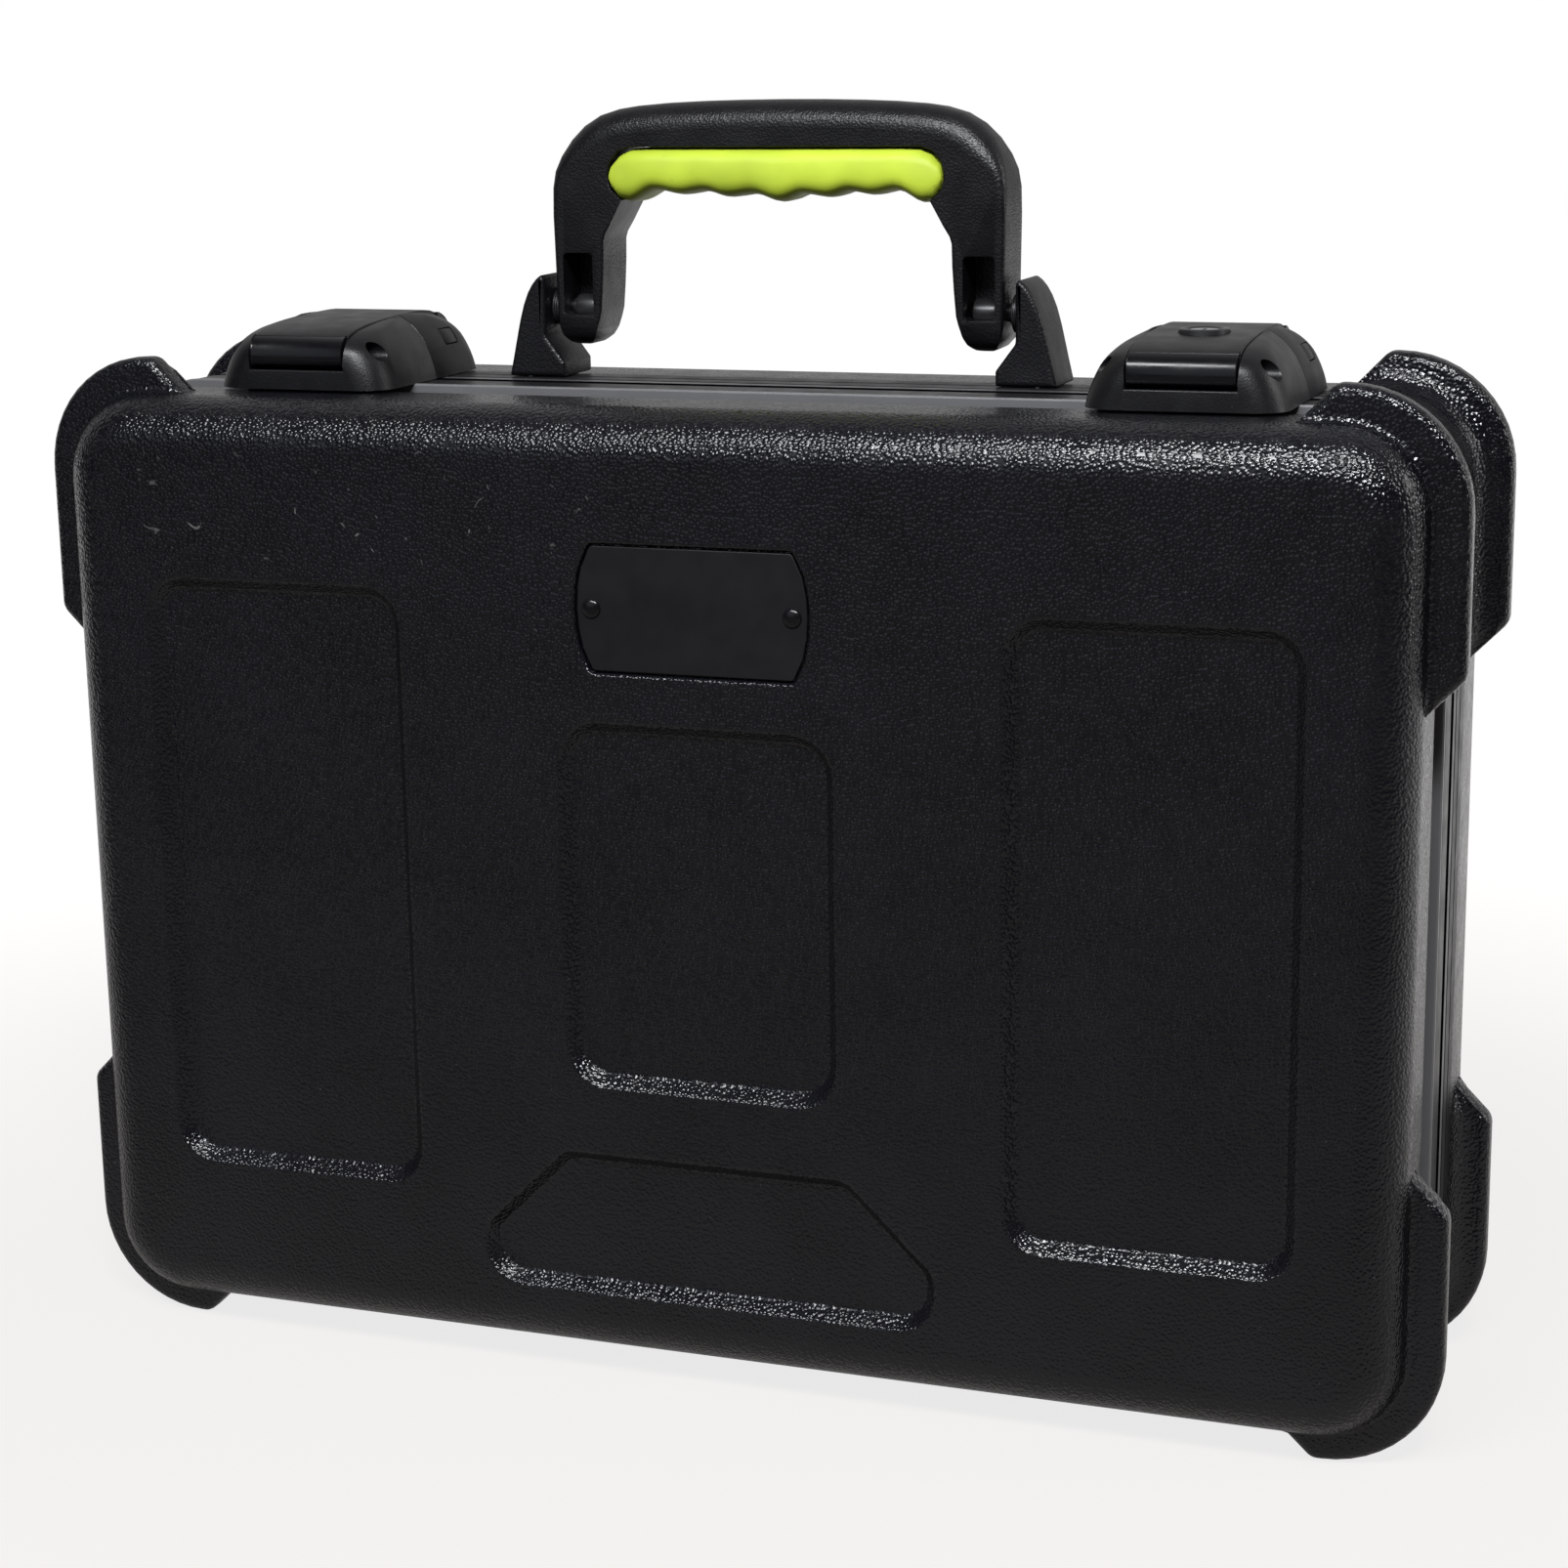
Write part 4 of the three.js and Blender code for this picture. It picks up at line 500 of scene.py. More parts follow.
def bumper(side, across, up):
    """A corner bumper: a flat flange with rounded edges, and a fillet on either face where it meets the shell."""
    top, peak = HALF_HEIGHT, UPPER_PEAK if up > 0 else HALF_HEIGHT
    corners = [(226.0, top - 100.3, 2.0), (SHELL_X, top - 98.0, 5.0), (240.0, top - 86.0, 6.0),
               (240.0, peak, 38.0), (199.0, peak, 5.0), (187.2, top - 11.3, 3.0), (184.0, top - 13.5, 2.0),
               (193.0, top - 22.0, 0), (206.0, top - 25.5, 0), (216.5, top - 35.0, 0), (221.0, top - 48.0, 0),
               (222.0, top - 70.0, 0)]
    corners = [(across * x, CENTRE_Z + up * z, r) for x, z, r in corners]
    if across * up < 0:
        corners.reverse()
    body = slab(corners, "y", *sorted((side * BUMPER_NEAR, side * BUMPER_FAR)), edge=2.9, steps=12)
    # The path lists (x, z, outward normal, height of the flange). Both fillets run out where the flange does.
    rise = peak - SHELL_UP
    path = [(x, SHELL_UP, 0.0, 1.0, rise * min(1.0, (x - 187.2) / 11.8))
            for x in (187.6, 188.6, 190.0, 192.0, 194.5, 197.5, ARC_X)]
    for k in range(1, 16):
        angle = math.pi / 2 * (1 - k / 16)
        path.append((ARC_X + SHELL_R * math.cos(angle), ARC_Z + SHELL_R * math.sin(angle), math.cos(angle),
                     math.sin(angle), 10.8))
    path += [(SHELL_X, z, 1.0, 0.0, 11.8 * min(1.0, (z - 72.7) / 12.0))
             for z in (ARC_Z, 115.0, 100.0, 90.0, 84.7, 81.5, 78.5, 76.0, 74.3, 73.1)]
    quarter = [math.pi / 2 * (1 - k / 7) for k in range(8)]
    for face_at, way, radius in ((BUMPER_FAR, 1, 2.4), (BUMPER_NEAR, -1, 8.4)):
        rings = []
        for x, z, nx, nz, height in path:
            r = max(0.25, min(radius, height - 0.6))
            section = [(-1.0, r)] + [(r - r * math.sin(a), r - r * math.cos(a)) for a in quarter]
            section += [(r, -1.0), (-1.0, -1.0)]
            rings.append([(across * (x + nx * t), side * (face_at + way * d), CENTRE_Z + up * (z + nz * t))
                          for t, d in section])
        body.loft(rings)
    return body


def shell(side):
    """Half the case: side is -1 for the lid and 1 for the base."""
    def at(ring, distance):
        return [(x, side * distance, z) for x, z in ring]

    # From the inside of the face out over the rim, and round the outer edge to the face.
    body = Body()
    steps, rim = 10, LID_RIM if side < 0 else RIM
    rings = [at(outline(SHELL_CORNERS, 8.0, steps), 61.5)]
    for k in range(5):
        angle = math.pi / 2 * k / 4
        rings.append(at(outline(SHELL_CORNERS, 7.0 - 4.0 * math.sin(angle), steps), 57.5 + 4.0 * math.cos(angle)))
    rings.append(at(outline(SHELL_CORNERS, 3.0, steps), rim + 0.6))
    rings.append(at(outline(SHELL_CORNERS, 2.4, steps), rim))
    for k in range(4):
        angle = math.pi / 2 * k / 3
        rings.append(at(outline(SHELL_CORNERS, 1.0 - math.sin(angle), steps), rim + 1.0 - math.cos(angle)))
    rings.append(at(outline(SHELL_CORNERS, 0.0, steps), 40.0))
    for k in range(13):
        angle = math.pi / 2 * k / 12
        rings.append(at(outline(SHELL_CORNERS, EDGE_R * (1 - math.cos(angle)), steps),
                        FACE - EDGE_R * (1 - math.sin(angle))))
    rings.append(at(outline(SHELL_CORNERS, EDGE_R + 1.0, steps), FACE))
    rows = body.loft(rings, caps=(True, False))
    holes = [sunk(body, at, corners, 6, [(t, sink(t)) for t in PANEL_INSETS]) for corners in PANELS]
    if side < 0:
        holes.append(sunk(body, at, PLATE_CORNERS, 3, PLATE_RECESS))
    body.fill(rows[-1], holes)
    for across in (1, -1):
        for up in (1, -1):
            join(body, bumper(side, across, up))
    return body


for side, name, owner in ((-1, "lid_shell", "lid"), (1, "base_shell", "base")):
    settle(make(name + "_dressed", shell(side), SHELL, 32.0), owner, "shell_plastic", name)


# ---------------------------------------------------------------- bands
PROUD, GROOVE_HALF, GROOVE_DEPTH = 0.6, 0.6, 0.9


def band(side, profile):
    """A ring round the case, from (distance from the meeting plane, inset) points."""
    body = Body()
    body.loft([[(x, side * d, z) for x, z in outline(SHELL_CORNERS, i, 10)] for d, i in profile], loop=True)
    return body


def groove(middle):
    """The points of a groove in a band's outer face."""
    low, high = middle - GROOVE_HALF, middle + GROOVE_HALF
    return [(low - 0.15, -PROUD), (low, -PROUD + 0.15), (low + 0.2, -PROUD + GROOVE_DEPTH),
            (high - 0.2, -PROUD + GROOVE_DEPTH), (high, -PROUD + 0.15), (high + 0.15, -PROUD)]


meeting_edge = [(0.15, 0.3), (0.3, -0.1), (0.7, -0.5), (1.1, -PROUD)]
lid_profile = [*meeting_edge, *groove(13.6), (15.0, -PROUD), (15.8, -0.95), (17.2, -0.95), (17.6, -0.4),
               (17.6, 5.2), (33.4, 5.2), (33.6, 3.3), (36.0, 3.3), (36.0, 5.0), (33.9, 5.0), (33.4, 6.8),
               (0.15, 6.8)]
base_profile = [*meeting_edge, *groove(9.6), *groove(18.2), (26.8, -PROUD), (27.7, -0.4), (28.1, 0.1),
                (28.2, 3.3), (36.0, 3.3), (36.0, 5.0), (0.15, 5.0)]
settle(make("lid_band_dressed", band(-1, lid_profile), BAND, 30.0), "lid", "band_metal", "lid_band")
settle(make("base_band_dressed", band(1, base_profile), BAND, 30.0), "base", "band_metal", "base_band")


# ---------------------------------------------------------------- name plate
RIVET_R = 3.15
plate = slab(PLATE_CORNERS, "y", -68.1, -66.9, edge=0.35, steps=3, edge_far=0.1)
settle(make("name_plate_dressed", plate, PLATE), "lid", "latch_plastic", "name_plate")
for word, x in (("left", -34.0), ("right", 34.0)):
    rows = [(-66.9, 1.3), (-68.05, 1.3), (-68.12, RIVET_R)]
    for k in range(8):
        angle = math.pi / 2 * k / 8
        rows.append((-68.3 - 1.3 * math.sin(angle), RIVET_R * math.cos(angle)))
    rows.append((-69.6, 0.25))
    settle(make(word + "_plate_rivet_dressed", lathe(rows, "y", x, PLATE_Z), GLOSS), "lid", "gloss_black",
           word + "_plate_rivet")

# ---------------------------------------------------------------- handle
AXIS, MIDDLE = 354.5, 25.0              # height and depth of the handle's axis
FRAME_NEAR, FRAME_FAR = 14.0, 36.0


def with_normals(points):
    """Each point of a counter-clockwise ring with its inward normal."""
    out, n = [], len(points)
    for i in range(n):
        a, b, c = Vector(points[i - 1]), Vector(points[i]), Vector(points[(i + 1) % n])
        d0, d1 = (b - a).normalized(), (c - b).normalized()
        out.append((b, Vector((-d0.y - d1.y, d0.x + d1.x)).normalized()))
    return out


half_outer = [(0, 423.6), (14, 423.5), (28, 423.2), (40, 422.7), (50, 421.9), (57, 420.9), (63.5, 419.0),
              (69.3, 415.6), (74.0, 411.0), (77.2, 405.6), (78.9, 400.6), (79.6, 395.0), (79.5, 386.0),
              (79.3, 376.0), (79.1, 366.0), (78.9, 358.0), (78.7, 352.0)]
half_foot = [(78.3, 348.6), (77.3, 345.6), (75.6, 343.3), (73.4, 342.2), (70.6, 342.1), (68.2, 342.6),
             (66.0, 344.6), (64.6, 347.6), (63.4, 351.0), (62.6, 354.0)]
half_inner = [(61.9, 362.0), (61.4, 370.0), (61.2, 377.4), (60.6, 379.6), (58.6, 383.0), (54.1, 391.1)]
half_bed = [(58.1, 394.9), (59.1, 399.1), (58.1, 403.8), (54.9, 407.3), (50.9, 408.6), (30.0, 408.6),
            (10.0, 408.6)]
half = half_outer + half_foot + half_inner + half_bed
ring = [(-x, z) for x, z in half[1:]] + half[:0:-1] + half[:1]
if sum(x0 * z1 - x1 * z0 for (x0, z0), (x1, z1) in zip(ring, ring[1:] + ring[:1])) < 0:
    ring.reverse()

def edge_at(x, z):
    """Edge rounding of the handle's frame: broad along the arch, tight down the legs and round the grip."""
    if abs(x) > 76 or z > 409:
        return mix([(388.0, 1.6), (400.0, 3.4), (412.0, 8.5)], z)
    return mix([(378.0, 1.2), (384.0, 0.4)], z)


framed = [(p, n, edge_at(*p)) for p, n in with_normals(ring)]
rings = []
for end, way in ((FRAME_NEAR, 1), (FRAME_FAR, -1)):
    rows = [[(p.x + n.x * (edge + 0.3), end, p.y + n.y * (edge + 0.3)) for p, n, edge in framed]]
    for k in range(8):
        a = math.pi / 2 * (k / 7)
        rows.append([(p.x + n.x * edge * (1 - math.sin(a)), end + way * edge * (1 - math.cos(a)),
                      p.y + n.y * edge * (1 - math.sin(a))) for p, n, edge in framed])
    rings += rows if way > 0 else rows[::-1]
body = Body()
body.loft(rings)
handle = make("handle_frame_dressed", body, HANDLE, 40.0)
# Seen from the side, the feet of the legs are round. Each leg has a pocket in its front above the foot, and a
# bore for its pin.
arc = []
for k in range(25):
    c, s = math.cos(math.pi + math.pi * k / 24), math.sin(math.pi + math.pi * k / 24)
    arc.append((MIDDLE + 11 * math.copysign(abs(c) ** 0.68, c),
                AXIS + 12.4 * math.copysign(abs(s) ** 0.72, s), 0))
side_view = arc + [(FRAME_FAR, 430.0, 0), (FRAME_NEAR, 430.0, 0)]
cut(handle, slab(side_view, "x", -90.0, 90.0, edge=0.01, edge_steps=1), "INTERSECT")
for way in (-1, 1):
    x0, x1 = sorted((way * 65.2, way * 76.0))
    cut(handle, slab(box_corners(x0, x1, 352.5, 373.5, 1.6), "y", 10.0, 29.0, edge=0.4))
    cut(handle, lathe([(65.0 * way, 3.2), (83.0 * way, 3.2)], "x", MIDDLE, AXIS))
bevel(handle, 0.45, 2, 50.0)
smooth(handle, 40.0)
settle(handle, "handle", "handle_plastic", "handle_frame")

# Grip: a scalloped bar, from rounded sections along its length.
LOW = [(0.0, 390.4), (8.8, 392.9), (17.5, 391.9), (25.5, 393.8), (33.5, 392.7), (42.5, 394.2), (51.5, 390.3),
       (55.0, 391.0), (57.2, 393.8), (58.2, 396.6)]
HIGH = [(0.0, 408.1), (50.5, 408.1), (54.6, 406.4), (57.4, 403.2), (58.2, 400.6)]
DEEP = [(0.0, 14.2), (45.0, 14.2), (50.5, 13.6), (55.0, 12.9), (57.4, 12.2), (58.2, 11.6)]
PLACES = [58.2, 57.9, 57.4, 56.8, 56.0, 55.0, 53.8, 52.4, 50.8, 49.0, 47.0, 45.0, 42.5, 40.0, 38.0, 35.8, 33.5,
          31.5, 29.5, 27.5, 25.5, 23.5, 21.5, 19.5, 17.5, 15.3, 13.1, 11.0, 8.8, 6.6, 4.4, 2.2]
rings = []
for x in [-p for p in PLACES] + [0.0] + PLACES[::-1]:
    shift = 2.0 * max(0.0, 1.0 - abs(x) / 50.0)
    low, high, deep = soft(LOW, abs(x - shift)), mix(HIGH, abs(x)), mix(DEEP, abs(x))
    section = []
    for k in range(36):
        angle = 2 * math.pi * k / 36
        c, s = math.cos(angle), math.sin(angle)
        power_z = 0.5 if s > 0 else 0.72
        y = MIDDLE + deep * math.copysign(abs(c) ** 0.55, c)
        z = (low + high) / 2 + (high - low) / 2 * math.copysign(abs(s) ** power_z, s)
        section.append((x, y, z))
    rings.append(section)
body = Body()
body.loft(rings)
settle(make("handle_grip_dressed", body, GRIP, 60.0), "handle", "grip_rubber", "handle_grip")

# Brackets, with the pins and their ribbed collars.
SEAT = 331.6                            # the top of the band, on which brackets and latches stand
FIN = [(97.0, SEAT, 0.6), (95.4, 338.5, 0), (94.0, 344.8, 0), (92.7, 350.5, 0), (91.2, 355.8, 0),
       (89.6, 359.8, 0), (87.9, 362.7, 0), (86.3, 364.6, 0), (84.9, 365.7, 0), (83.9, 366.0, 0.5),
       (83.05, 364.6, 0.6), (83.0, 345.5, 3.0), (76.2, 336.5, 1.6), (76.2, SEAT, 0.5)]
for word, way in (("left", -1), ("right", 1)):
    corners = [(way * x, z, r) for x, z, r in FIN][::way]
    fin = make(word + "_handle_bracket_dressed", slab(corners, "y", 13.0, 37.0, edge=1.5, steps=5), HANDLE, 34.0)
    settle(fin, "base", "handle_plastic", word + "_handle_bracket")
    rows = [(66.3, 3.6), (66.8, 4.4), (67.2, 4.5), (74.2, 4.5), (74.9, 4.1), (74.9, 3.0), (80.0, 3.0),
            (80.0, 6.0), (80.25, 6.45)]
    for k in range(3):
        x = 80.35 + k * 0.75
        rows += [(x, 6.5), (x + 0.3, 6.5), (x + 0.38, 6.0), (x + 0.62, 6.0)]
    rows += [(82.6, 6.4), (82.6, 3.0), (88.0, 3.0), (88.3, 2.6)]
    pin = lathe([(way * d, r) for d, r in rows], "x", MIDDLE, AXIS)
    settle(make(word + "_handle_pin_dressed", pin, METAL, 30.0), "base", "steel", word + "_handle_pin")

# ---------------------------------------------------------------- latches
# Half the width of a latch and its length to the front and to the back, at heights above its seat. SLOT is half
# the width between its cheeks.
WIDE = [(0.0, 32.0), (2.7, 31.5), (5.6, 30.7), (8.6, 29.6), (11.6, 28.3), (14.6, 26.4), (17.0, 24.3),
        (18.8, 22.4), (20.1, 20.6), (20.9, 19.2), (21.4, 18.3)]
LONG = [(0.0, 41.5), (6.4, 41.5), (12.5, 41.0), (14.6, 40.1), (16.5, 38.3), (18.5, 33.8), (19.6, 27.0),
        (20.4, 19.8), (20.9, 11.0), (21.3, 4.5), (21.4, 2.5)]
LONG_BACK = [(0.0, 41.5), (6.4, 41.4), (12.5, 40.6), (14.6, 39.6), (16.5, 38.0), (18.3, 35.4), (19.6, 32.0),
             (20.4, 28.5), (21.0, 24.0), (21.3, 19.5), (21.4, 15.0)]
HEIGHTS = [0.0, 0.7, 1.6, 2.7, 4.0, 5.3, 6.7, 8.2, 9.7, 11.2, 12.6, 13.8, 14.8, 15.6, 16.3, 16.9, 17.5, 18.0,
           18.5, 18.9, 19.3, 19.65, 20.0, 20.3, 20.55, 20.75, 20.95, 21.1, 21.2, 21.3, 21.36, 21.4]
SLOT, LATCH_AT, PIN_Y, PIN_Z = 17.8, 150.096, -33.0, 343.9
FLOOR_TOP = 333.1
LOCK_Y = -8.0


def cheek(way, side, middle):
    """One side wall of a latch half, from the meeting plane round to the front or back."""
    body = Body()
    rings = []
    for h in HEIGHTS:
        wide, long = curve(WIDE, h), curve(LONG if side < 0 else LONG_BACK, h)
        r = min(mix([(0.0, 11.0), (21.4, 15.0)], h) + (2.0 if side > 0 else 0.0), long - 1.0)
        slot = mix([(6.4, SLOT - 0.5), (13.0, SLOT)], h)
        lip = 0.45 if h > 6.3 else 0.02
        run = wide - slot
        start = math.acos(max(-1.0, min(1.0, (r - run) / r))) if run < r else math.pi / 2
        front = long - r + r * math.sin(start)
        pts = [(slot, 0.15), (slot, max(1.4, front - lip)),
               (slot + min(lip * 0.6, run * 0.5), max(1.5, front - lip * 0.2))]
        for k in range(13):
            angle = start * (1 - k / 12)
            pts.append((wide - r + r * math.cos(angle), max(1.6, long - r + r * math.sin(angle))))
        pts += [(wide, 0.6), (wide - 0.12, 0.3), (wide - min(0.4, run * 0.8), 0.15)]
        rings.append([(middle + way * x, side * y, SEAT + h) for x, y in pts])
    body.loft(rings)
    return body


def cheeks(name, side, middle):
    """Both side walls of a latch half, as one object."""
    body = Body()
    for way in (-1, 1):
        join(body, cheek(way, side, middle))
    return make(name, body, LATCH, 36.0)


for word, sign in (("left", -1), ("right", 1)):
    mid = LATCH_AT * sign
    low, high = mid - SLOT - 0.3, mid + SLOT + 0.3
    front = cheeks(word + "_latch_front_dressed", -1, mid)
    for way in (-1, 1):
        for rows in ([(12.0, 2.2), (40.0, 2.2)], [(20.7, 3.1), (27.6, 3.25), (34.0, 4.2)]):
            cut(front, lathe([(mid + way * d, r) for d, r in rows], "x", PIN_Y, PIN_Z, 24))
    # The front wall below the lever, with a rounded top edge, and the floor.
    wall = [(-41.5, SEAT, 0), (-40.0, SEAT, 0), (-40.0, 338.1, 0.6), (-41.5, 338.1, 0.6)]
    append(front, slab(wall, "x", low, high, edge=0.02, edge_steps=1))
    append(front, slab(box_corners(low, high, -40.6, -0.15, 0.3), "z", SEAT, FLOOR_TOP, edge=0.1, edge_steps=2))
    smooth(front, 36.0)
    settle(front, "lid", "latch_plastic", word + "_latch_front")

    back = cheeks(word + "_latch_housing_dressed", 1, mid)
    cut(back, slab(box_corners(13.85, 24.15, 341.55, 347.05, 1.0), "x", mid + 17.0, mid + 40.0, edge=0.05,
                   edge_steps=1))
    # The back wall between the cheeks, the floor, and the stop of the spring.
    rings = []
    for h in [h for h in HEIGHTS if h < 19.7]:
        long = max(31.6, curve(LONG_BACK, h))
        rings.append([(x, y, SEAT + h) for x, y in ((low, 30.8), (high, 30.8), (high, long), (low, long))])
    wall = Body()
    wall.loft(rings)
    append(back, wall)
    append(back, slab(box_corners(low, high, 0.15, 40.6, 0.3), "z", SEAT, FLOOR_TOP, edge=0.1, edge_steps=2))
    append(back, slab(box_corners(mid + 8.3, mid + 9.8, 14.0, 24.0, 0.3), "z", 332.0, 346.9, edge=0.2,
                      edge_steps=2))
    smooth(back, 36.0)
    settle(back, "base", "latch_plastic", word + "_latch_housing")

    # Lever: an arm that follows the dome, a tongue with a hole beside the spring's stop, and an ear for the pin on
    # either side. The glossy bar makes its front.
    arm = [(30.5, 349.4, 0.4), (30.5, 351.3, 0.7), (27.0, 352.2, 0), (22.0, 352.8, 0), (17.0, 353.0, 0),
           (10.0, 353.0, 0), (3.0, 352.95, 0), (-4.0, 352.75, 0), (-10.0, 352.5, 0), (-15.0, 352.25, 0),
           (-20.0, 351.95, 0), (-24.0, 351.55, 0), (-27.5, 351.1, 0), (-31.0, 350.5, 0), (-34.0, 349.75, 0),
           (-36.4, 348.9, 0.4), (-36.0, 347.0, 0.3), (-34.0, 347.2, 0), (-28.0, 348.2, 0), (-20.0, 348.6, 0),
           (20.0, 348.6, 0)]
    arm = slab(arm, "x", mid - 17.45, mid + 17.45, edge=0.5, steps=4)
    lever = make(word + "_latch_lever_dressed", arm, LATCH, 34.0)
    hook = [(mid + 5.2, 13.0, 0), (mid + 7.2, 13.0, 0), (mid + 7.2, 25.0, 0), (mid + 5.2, 25.0, 0)]
    tongue = make("tool", slab(hook, "z", 339.9, 350.0, edge=0.5, edge_steps=2), LATCH)
    cut(tongue, lathe([(mid, 2.0), (mid + 12.0, 2.0)], "x", 19.0, 344.3, 24))
    combine(lever, tongue, "UNION")
    for way in (-1, 1):
        x0, x1 = sorted((mid + way * 13.0, mid + way * 17.45))
        cut(lever, lathe([(x0, 5.0), (x0 + 0.4, 5.4), (x1 - 0.4, 5.4), (x1, 5.0)], "x", PIN_Y, PIN_Z), "UNION")
    cut(lever, lathe([(mid - 30, 2.3), (mid + 30, 2.3)], "x", PIN_Y, PIN_Z, 24))
    if sign > 0:
        cut(lever, lathe([(340.0, 8.25), (360.0, 8.25)], "z", mid, LOCK_Y, 48))
    smooth(lever, 34.0)
    settle(lever, word + "_lever", "latch_plastic", word + "_latch_lever")
    bar = [(-35.5, 338.3, 0.4), (-35.5, 347.9, 0.4), (-36.7, 348.75, 0.3), (-38.4, 347.9, 0), (-39.5, 346.8, 0),
           (-40.3, 345.4, 0), (-40.75, 343.8, 0), (-40.9, 342.4, 0), (-40.85, 341.4, 0),
           (-40.6, 340.3, 0), (-40.0, 339.4, 0), (-39.0, 338.8, 0), (-37.5, 338.4, 0)]
    bar = slab(bar[::-1], "x", mid - 17.1, mid + 17.1, edge=0.5, steps=4)
    settle(make(word + "_lever_bar_dressed", bar, GLOSS, 40.0), word + "_lever", "gloss_black",
           word + "_lever_bar")

    # Release button, which lies in the side of the dome.
    rings = []
    for h in (341.75, 342.0, 342.6, 344.3, 346.0, 346.6, 346.85):
        inset = 0.35 if h < 341.9 or h > 346.7 else 0.1 if h < 342.3 or h > 346.3 else 0.0
        out = curve(WIDE, h - SEAT) - 0.05 - inset
        rings.append([(mid + 12.5, 14.1 + inset, h), (mid + out - 0.3, 14.1 + inset, h),
                      (mid + out, 14.5 + inset, h), (mid + out, 23.5 - inset, h),
                      (mid + out - 0.3, 23.9 - inset, h), (mid + 12.5, 23.9 - inset, h)])
    button = Body()
    button.loft(rings)
    settle(make(word + "_release_button_dressed", button, LATCH, 40.0), word + "_button", "latch_plastic",
           word + "_release_button")

# Lock in the right-hand lever: barrel with a rounded rim, plug with a keyway.
mid = LATCH_AT
rows = [(341.9, 5.2), (341.9, 8.0), (353.0, 8.0), (353.55, 7.95), (353.8, 7.6), (353.9, 7.1), (353.8, 6.3),
        (353.4, 5.5), (353.1, 5.2)]
turns = [2 * math.pi * k / 48 for k in range(48)]
barrel = Body()
barrel.loft([[(mid + r * math.cos(a), LOCK_Y + r * math.sin(a), z) for a in turns] for z, r in rows], loop=True)
settle(make("lock_barrel_dressed", barrel, METAL, 30.0), "right_lever", "band_metal", "lock_barrel")
rows = [(339.8, 4.6), (339.8, 5.0), (352.9, 5.0), (353.3, 4.7), (353.4, 4.4)]
plug = make("lock_plug_dressed", lathe(rows, "z", mid, LOCK_Y, 48), STEEL, 30.0)
keyway = box_corners(mid - 0.6, mid + 0.6, -11.0, -5.0, 0.4)
cut(plug, slab(keyway, "z", 348.6, 356.0, edge=0.05, edge_steps=1))
cam = box_corners(mid - 3.0, mid + 3.0, LOCK_Y, 5.0, 1.2)
cut(plug, slab(cam, "z", 339.8, 341.6, edge=0.2, edge_steps=2), "UNION")
smooth(plug, 30.0)
settle(plug, "lock", "steel", "lock_plug")


# ---------------------------------------------------------------- foam
def foam_block(name, near, far, holes, edge, node, owner):
    """A foam block with rounded edges, and rounded edges round each hole."""
    body = Body()
    corners = box_corners(-221.2, 221.2, 17.7, 323.7, 20.0)
    wall, mouths = [], [[] for _ in holes]
    rows = [(edge * 1.2, 0.0)]
    for k in range(5):
        angle = math.pi / 2 * k / 4
        rows.append((edge * (1 - math.sin(angle)), edge * (1 - math.cos(angle))))
    for level, way in ((near, 1), (far, -1)):
        outer = [body.ring([(x, level + way * d, z) for x, z in outline(corners, t)]) for t, d in rows]
        inner = [[body.ring([(x, level + way * d, z) for x, z in outline(hole, -t)]) for t, d in rows]
                 for hole in holes]
        for group in [outer, *inner]:
            for first, second in zip(group, group[1:]):
                body.strip(first, second)
        if holes:
            body.fill(outer[0], [rows_in[0] for rows_in in inner])
        else:
            body.faces.append(tuple(outer[0]))
        wall.append(outer[-1])
        for mouth, rows_in in zip(mouths, inner):
            mouth.append(rows_in[-1])
    body.strip(*wall)
    for mouth in mouths:
        body.strip(*mouth)
    obj = make(name, body, FOAM, 50.0)
    return settle(obj, owner, "foam", node)


pockets = []
for way in (-1, 1):
    for k in range(4):
        height = CENTRE_Z + (k - 1.5) * 71.0
        pockets.append(box_corners(*sorted((way * 29.0, way * 213.0)), height - 27.0, height + 27.0, 12.0))
pockets.append(box_corners(-17.0, 17.0, 39.7, 301.7, 10.0))
foam_block("base_foam_insert_dressed", 18.0, 53.5, pockets, 1.6, "base_foam_insert", "base")
foam_block("base_foam_floor_dressed", 53.8, 61.2, [], 1.2, "base_foam_floor", "base")
foam_block("lid_foam_dressed", -61.2, -30.0, [], 3.0, "lid_foam", "lid")

# ---------------------------------------------------------------- carried-over metal parts
STEEL_PARTS = ("screw", "spring", "lever_pin", "hinge_pin", "hinge_rivet")
for name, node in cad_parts.items():
    metal = STEEL if any(part in name for part in STEEL_PARTS) else METAL if "leaf" in name else None
    if metal:
        node.data.materials.clear()
        node.data.materials.append(metal)
        if "spring" not in name:
            edge = node.modifiers.new("edge", "BEVEL")
            edge.width, edge.segments, edge.limit_method = 0.15 * MM, 2, "ANGLE"
# ---------------------------------------------------------------- floor, light and camera
floor_mesh = bpy.data.meshes.new("floor")
floor_mesh.from_pydata([(x, y, -0.0002) for x, y in ((-6, -6), (6, -6), (6, 6), (-6, 6))], [], [(0, 1, 2, 3)])
floor = bpy.data.objects.new("floor", floor_mesh)
scene.collection.objects.link(floor)
pale = bpy.data.materials.new("pale_floor")
pale.use_nodes = True
tree = pale.node_tree
tree.nodes.clear()
rays = tree.nodes.new("ShaderNodeLightPath").outputs
where = tree.nodes.new("ShaderNodeTexCoord").outputs["Object"]
away = tree.nodes.new("ShaderNodeVectorMath")
away.operation = "LENGTH"
tree.links.new(where, away.inputs[0])
level = map_range(tree, away.outputs["Value"], 0.25, 0.9, 0.8, 1.0, "SMOOTHSTEP")
